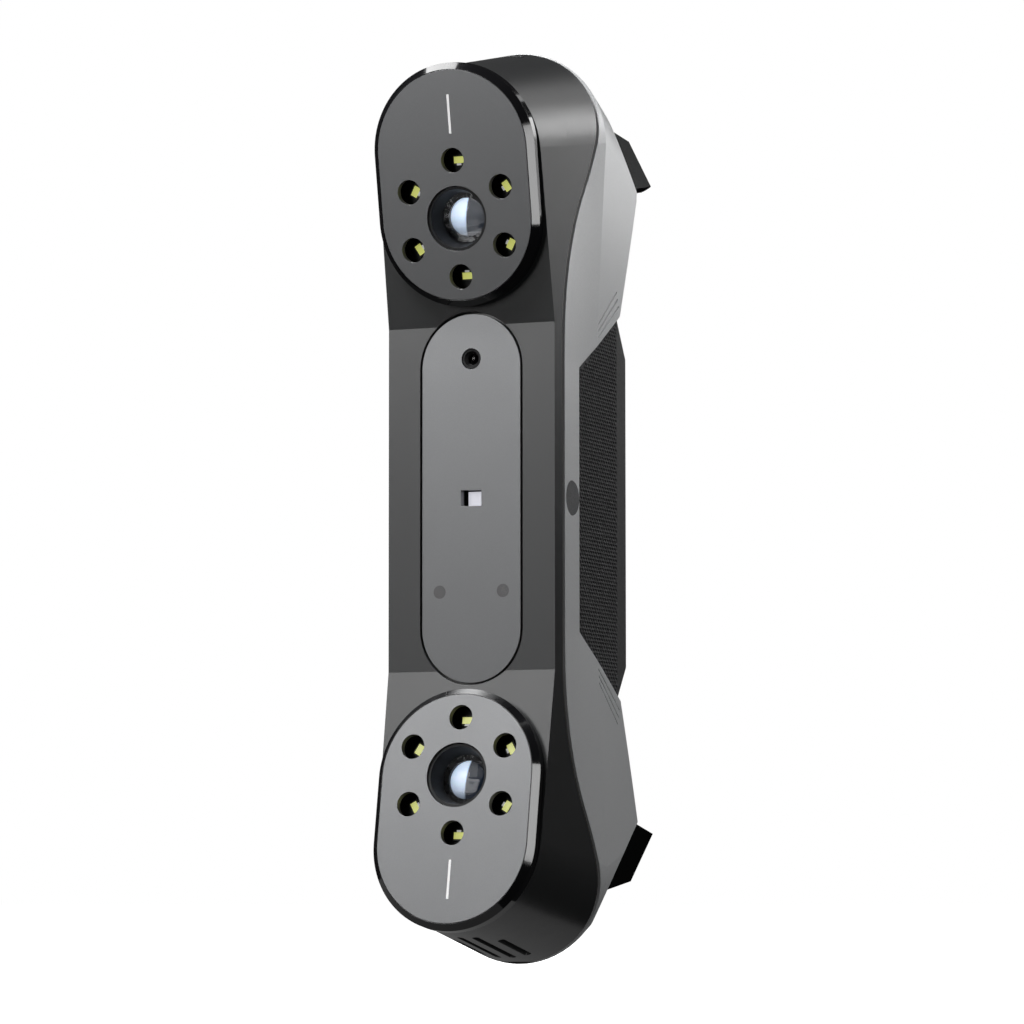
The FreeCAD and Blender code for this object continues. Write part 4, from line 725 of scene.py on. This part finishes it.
def grip_face(way):
    """The grip's broad face on one side as one flat outline, with its place."""
    source = NODES["grip_cover"].data
    normal = facing("grip_cover", Vector((way, GRIP_LEAN, 0)).normalized(), 0.999)
    work = bmesh.new()
    for face in source.polygons:
        if face.normal.dot(normal) > 0.9999:
            work.faces.new([work.verts.new(source.vertices[index].co) for index in face.vertices])
    bmesh.ops.remove_doubles(work, verts=work.verts, dist=1e-6)
    bmesh.ops.dissolve_limit(work, angle_limit=0.02, verts=work.verts, edges=work.edges)
    middle = sum((vertex.co for vertex in work.verts), Vector()) / len(work.verts)
    place = frame_of(middle, normal, Vector((0, 0, 1)))
    bmesh.ops.transform(work, matrix=place.inverted(), verts=work.verts)
    mesh = bpy.data.meshes.new("grip_face")
    work.to_mesh(mesh)
    work.free()
    return mesh, place


def grip_knurl():
    tree = knurl_tree()
    sizes = {
        "Pitch": KNURL_PITCH,
        "Height": KNURL_HEIGHT,
        "Margin": KNURL_MARGIN,
        "Span": LATTICE_SPAN,
        "Finish": STUDS_PAINTED_LIGHTER,
    }
    for side, way in (("left", -1), ("right", 1)):
        outline, place = grip_face(way)
        mesh = grown(f"grip_face_{side}", outline, tree, sizes)
        mesh.transform(place)
        add_piece(f"grip_diamonds_{side}", mesh, STUDS_PAINTED_LIGHTER, "casing")


grip_knurl()


# ---- control panel --------------------------------------------------------------------------------

SYMBOL_DEPTH = 0.3 * MM
SYMBOL_PROUD = 0.03 * MM
SYMBOL_LINE = 0.45 * MM
ARROW_SIZE = 1.35 * MM
ARROW_BACK = 0.7             # of its size
RING_RADIUS = 2.9 * MM
RING_LINE = 0.8              # of the symbols' line
RING_GAP = (20, 340)
RING_STEPS = 40
BAR_LENGTH = 2.4 * MM
ARM_LENGTH = 0.98 * MM
ARM_MIDDLE = 0.71 * MM
RUNG_PITCH = 0.75 * MM
RUNG_LENGTHS = (1.9 * MM, 1.5 * MM, 1.1 * MM)
RUNG_LINE = 0.7              # of the symbols' line


def bar(width, height, x=0.0, y=0.0):
    """The outline of a rectangle about a point."""
    left, right = x - width / 2, x + width / 2
    low, high = y - height / 2, y + height / 2
    return [(left, low), (right, low), (right, high), (left, high)]


def arc_band(work, radius, line, span, steps, low, high):
    """Add a closed piece of a flat ring."""
    start, end = span
    angles = [math.radians(start + (end - start) * step / steps) for step in range(steps + 1)]
    outer = [((radius + line / 2) * math.cos(a), (radius + line / 2) * math.sin(a)) for a in angles]
    inner = [((radius - line / 2) * math.cos(a), (radius - line / 2) * math.sin(a)) for a in angles]
    for number in range(steps):
        prism(work, [outer[number], outer[number + 1], inner[number + 1], inner[number]], low, high)


def scan_symbol(work, low, high):
    """A triangle, pointing the way the scan runs, in an open ring."""
    back = -ARROW_SIZE * ARROW_BACK
    prism(work, [(ARROW_SIZE, 0), (back, ARROW_SIZE), (back, -ARROW_SIZE)], low, high)
    arc_band(work, RING_RADIUS, SYMBOL_LINE * RING_LINE, RING_GAP, RING_STEPS, low, high)


def plus_symbol(work, low, high):
    """A long bar, with a short one above and one below it."""
    prism(work, bar(BAR_LENGTH, SYMBOL_LINE), low, high)
    for way in (-1, 1):
        prism(work, bar(SYMBOL_LINE, ARM_LENGTH, y=way * ARM_MIDDLE), low, high)


def minus_symbol(work, low, high):
    prism(work, bar(BAR_LENGTH, SYMBOL_LINE), low, high)


def mode_symbol(work, low, high):
    """Three rungs, each shorter than the one below it."""
    for number, length in enumerate(RUNG_LENGTHS):
        row = (number - 1) * RUNG_PITCH
        prism(work, bar(length, SYMBOL_LINE * RUNG_LINE, y=row), low, high)


SYMBOLS = {
    "scan_button": scan_symbol,
    "plus_button": plus_symbol,
    "minus_button": minus_symbol,
    "mode_button": mode_symbol,
}


def key_symbol(key, draw):
    low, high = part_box(key)
    middle = Vector(((low.x + high.x) / 2, high.y, (low.z + high.z) / 2))
    place = frame_of(middle, Vector((0, 1, 0)), Vector((0, 0, 1)))
    work = bmesh.new()
    draw(work, -SYMBOL_DEPTH, SYMBOL_PROUD)
    mesh = finish_mesh(work, f"{key}_symbol", place)
    add_piece(f"{key}_symbol", mesh, WHITE_PRINT, key)


for key, draw in SYMBOLS.items():
    key_symbol(key, draw)


# ---- connector and tripod socket --------------------------------------------------------------------

CONTACTS = 12
CONTACT_PITCH = 0.5 * MM
CONTACT_WIDTH = 0.26 * MM
CONTACT_LENGTH = 3.2 * MM
CONTACT_HEIGHT = 0.04 * MM
CONTACT_DEPTH = 1.4 * MM     # of their near end, into the socket
TONGUE_HALF = 0.35 * MM


def connector_contacts():
    """Two rows of gilt contacts on the connector's tongue."""
    outward = facing("usb_socket", Vector((0, 0, 1)))
    low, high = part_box("usb_socket")
    _, top = reach_along("usb_socket", outward)
    middle = (low + high) / 2
    end = middle + outward * (top - middle.dot(outward))
    place = frame_of(end, outward, Vector((0, 1, 0)))
    work = bmesh.new()
    for way in (-1, 1):
        for number in range(CONTACTS):
            x = (number - (CONTACTS - 1) / 2) * CONTACT_PITCH
            outline = bar(CONTACT_WIDTH, CONTACT_HEIGHT * 2, x, way * TONGUE_HALF)
            prism(work, outline, -CONTACT_LENGTH - CONTACT_DEPTH, -CONTACT_DEPTH)
    mesh = finish_mesh(work, "connector_contacts", place)
    add_piece("connector_contacts", mesh, CONTACT_GOLD, "casing")


THREAD_PITCH = 1.27 * MM
THREAD_DEPTH = 0.62 * MM
THREAD_STEPS = 48
THREAD_FADE = 12             # steps over which each end runs out
THREAD_LEAST = 0.05          # of the depth, at the very ends
THREAD_ROOT = 0.02 * MM      # into the wall
THREAD_FOOT = 0.86           # of the pitch, across a ridge's foot


def insert_thread():
    """The tripod insert's thread: a ridge wound round the inside of its bore."""
    low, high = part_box("tripod_insert")
    plug_low, plug_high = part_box("tripod_plug")
    middle = (plug_low + plug_high) / 2
    bore = frame["record"]["mounts"][0]["dims"]["r_mm"] * MM
    turns = (high.x - low.x - THREAD_PITCH) / THREAD_PITCH
    count = int(turns * THREAD_STEPS)
    work = bmesh.new()
    loops = []
    for step in range(count + 1):
        angle = math.tau * step / THREAD_STEPS
        along = low.x + THREAD_PITCH / 2 + step / THREAD_STEPS * THREAD_PITCH
        fade = min(1.0, step / THREAD_FADE, (count - step) / THREAD_FADE)
        root, crest = bore + THREAD_ROOT, bore - THREAD_DEPTH * max(fade, THREAD_LEAST)
        ring = []
        for radius, shift in ((root, -0.5), (crest, -0.1), (crest, 0.1), (root, 0.5)):
            x = along + shift * THREAD_PITCH * THREAD_FOOT
            y, z = middle.y + radius * math.cos(angle), middle.z + radius * math.sin(angle)
            ring.append(work.verts.new((x, y, z)))
        loops.append(ring)
    for before, after in zip(loops, loops[1:]):
        for number in range(4):
            following = (number + 1) % 4
            work.faces.new([before[number], before[following], after[following], after[number]])
    work.faces.new(list(reversed(loops[0])))
    work.faces.new(loops[-1])
    mesh = finish_mesh(work, "insert_thread")
    add_piece("insert_thread", mesh, FINISHES["brass"], "casing")


connector_contacts()
insert_thread()


# ---- studio -----------------------------------------------------------------------------------------

CAMERA_TURN = math.radians(25.19)
CAMERA_RISE = math.radians(-4.56)
CAMERA_DISTANCE = 1.0848
CAMERA_LENS = 174.94
CAMERA_SHIFT = (0.0399, -0.0137)
SURROUND_GLOW = 0.01
FLOOR_HALF = 6.0
FLOOR_GAP = 0.0005
MIDDLE = (0, 0, 0)

# Name, place, the point that it looks at, width and height, and watts.
SOFTBOXES = (
    ("front_softbox", (-0.38, -0.81, 0.07), MIDDLE, (0.35, 0.25), 0.33),
    ("front_key", (-0.21, -0.43, 0.15), MIDDLE, (0.25, 0.12), 0.29),
    ("front_high", (-0.38, -0.74, 0.34), MIDDLE, (0.35, 0.25), 0.32),
    ("overhead_front", (-0.27, -0.4, 0.76), MIDDLE, (0.4, 0.3), 7.5),
    ("overhead_left", (-0.4, -0.04, 0.8), MIDDLE, (0.4, 0.3), 2.8),
    ("right_top_near", (0.3, 0.05, 0.33), MIDDLE, (0.2, 0.2), 0.3),
    ("right_strip", (0.81, -0.38, 0.07), MIDDLE, (0.12, 0.5), 1.05),
    ("rear_right", (0.48, 0.62, 0.43), MIDDLE, (0.3, 0.3), 0.82),
    ("rear_top", (0.24, 0.81, 0.3), MIDDLE, (0.3, 0.3), 0.88),
    ("rear_overhead", (0.28, 0.56, 0.65), MIDDLE, (0.4, 0.3), 0.31),
    ("under_card", (-0.06, -0.03, -0.101), (-0.06, -0.03, 0), (0.16, 0.09), 0.008),
)


def make_camera():
    low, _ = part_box("centre_plate")
    target = Vector((0, low.y, 0))
    level = math.cos(CAMERA_RISE)
    across, along = math.sin(CAMERA_TURN) * level, -math.cos(CAMERA_TURN) * level
    back = Vector((across, along, math.sin(CAMERA_RISE)))
    data = bpy.data.cameras.new("camera")
    data.lens = CAMERA_LENS
    data.shift_x, data.shift_y = CAMERA_SHIFT
    camera = bpy.data.objects.new("camera", data)
    bpy.context.scene.collection.objects.link(camera)
    camera.location = target + back * CAMERA_DISTANCE
    camera.rotation_mode = "QUATERNION"
    camera.rotation_quaternion = (-back).to_track_quat("-Z", "Y")
    bpy.context.scene.camera = camera


def softbox(name, place, target, size, power):
    """A rectangular soft light that looks at a point, itself unseen."""
    data = bpy.data.lights.new(name, "AREA")
    data.shape = "RECTANGLE"
    data.size, data.size_y = size
    data.energy = power
    light = bpy.data.objects.new(name, data)
    bpy.context.scene.collection.objects.link(light)
    light.location = place
    light.visible_camera = False
    light.rotation_mode = "QUATERNION"
    light.rotation_quaternion = (Vector(target) - Vector(place)).to_track_quat("-Z", "Y")


def make_world():
    """A white surround for the camera, and a dim even one for the object's own light."""
    world = bpy.data.worlds.new("studio")
    world.use_nodes = True
    bpy.context.scene.world = world
    tree = world.node_tree
    tree.nodes.clear()
    path = tree.nodes.new("ShaderNodeLightPath")
    level = tree.nodes.new("ShaderNodeMapRange")
    level.inputs["To Min"].default_value = SURROUND_GLOW
    level.inputs["To Max"].default_value = 1.0
    tree.links.new(path.outputs["Is Camera Ray"], level.inputs["Value"])
    glow = tree.nodes.new("ShaderNodeBackground")
    glow.inputs["Color"].default_value = (1, 1, 1, 1)
    tree.links.new(level.outputs["Result"], glow.inputs["Strength"])
    output = tree.nodes.new("ShaderNodeOutputWorld")
    tree.links.new(glow.outputs["Background"], output.inputs["Surface"])


def make_floor():
    """A plain pale floor under the scanner."""
    work = bmesh.new()
    height = CAD_BOX[0].z - FLOOR_GAP
    work.faces.new([work.verts.new((x, y, height)) for x, y in bar(FLOOR_HALF * 2, FLOOR_HALF * 2)])
    mesh = bpy.data.meshes.new("floor")
    work.to_mesh(mesh)
    work.free()
    finish = Finish("pale_floor")
    speck = finish.noise(40 * MM, 2)
    mesh.materials.append(finish.surface(
        Base_Color=finish.blend(speck, (0.93, 0.93, 0.93), (0.95, 0.95, 0.95)),
        Roughness=0.9,
        Emission_Color=(1.0, 1.0, 1.0),
        Emission_Strength=1.0,
    ))
    floor = bpy.data.objects.new("floor", mesh)
    bpy.context.scene.collection.objects.link(floor)
    floor.visible_diffuse = False
    floor.visible_glossy = False


make_camera()
make_world()
make_floor()
for name, place, target, size, power in SOFTBOXES:
    softbox(name, place, target, size, power)

bpy.context.scene.view_settings.view_transform = "Standard"
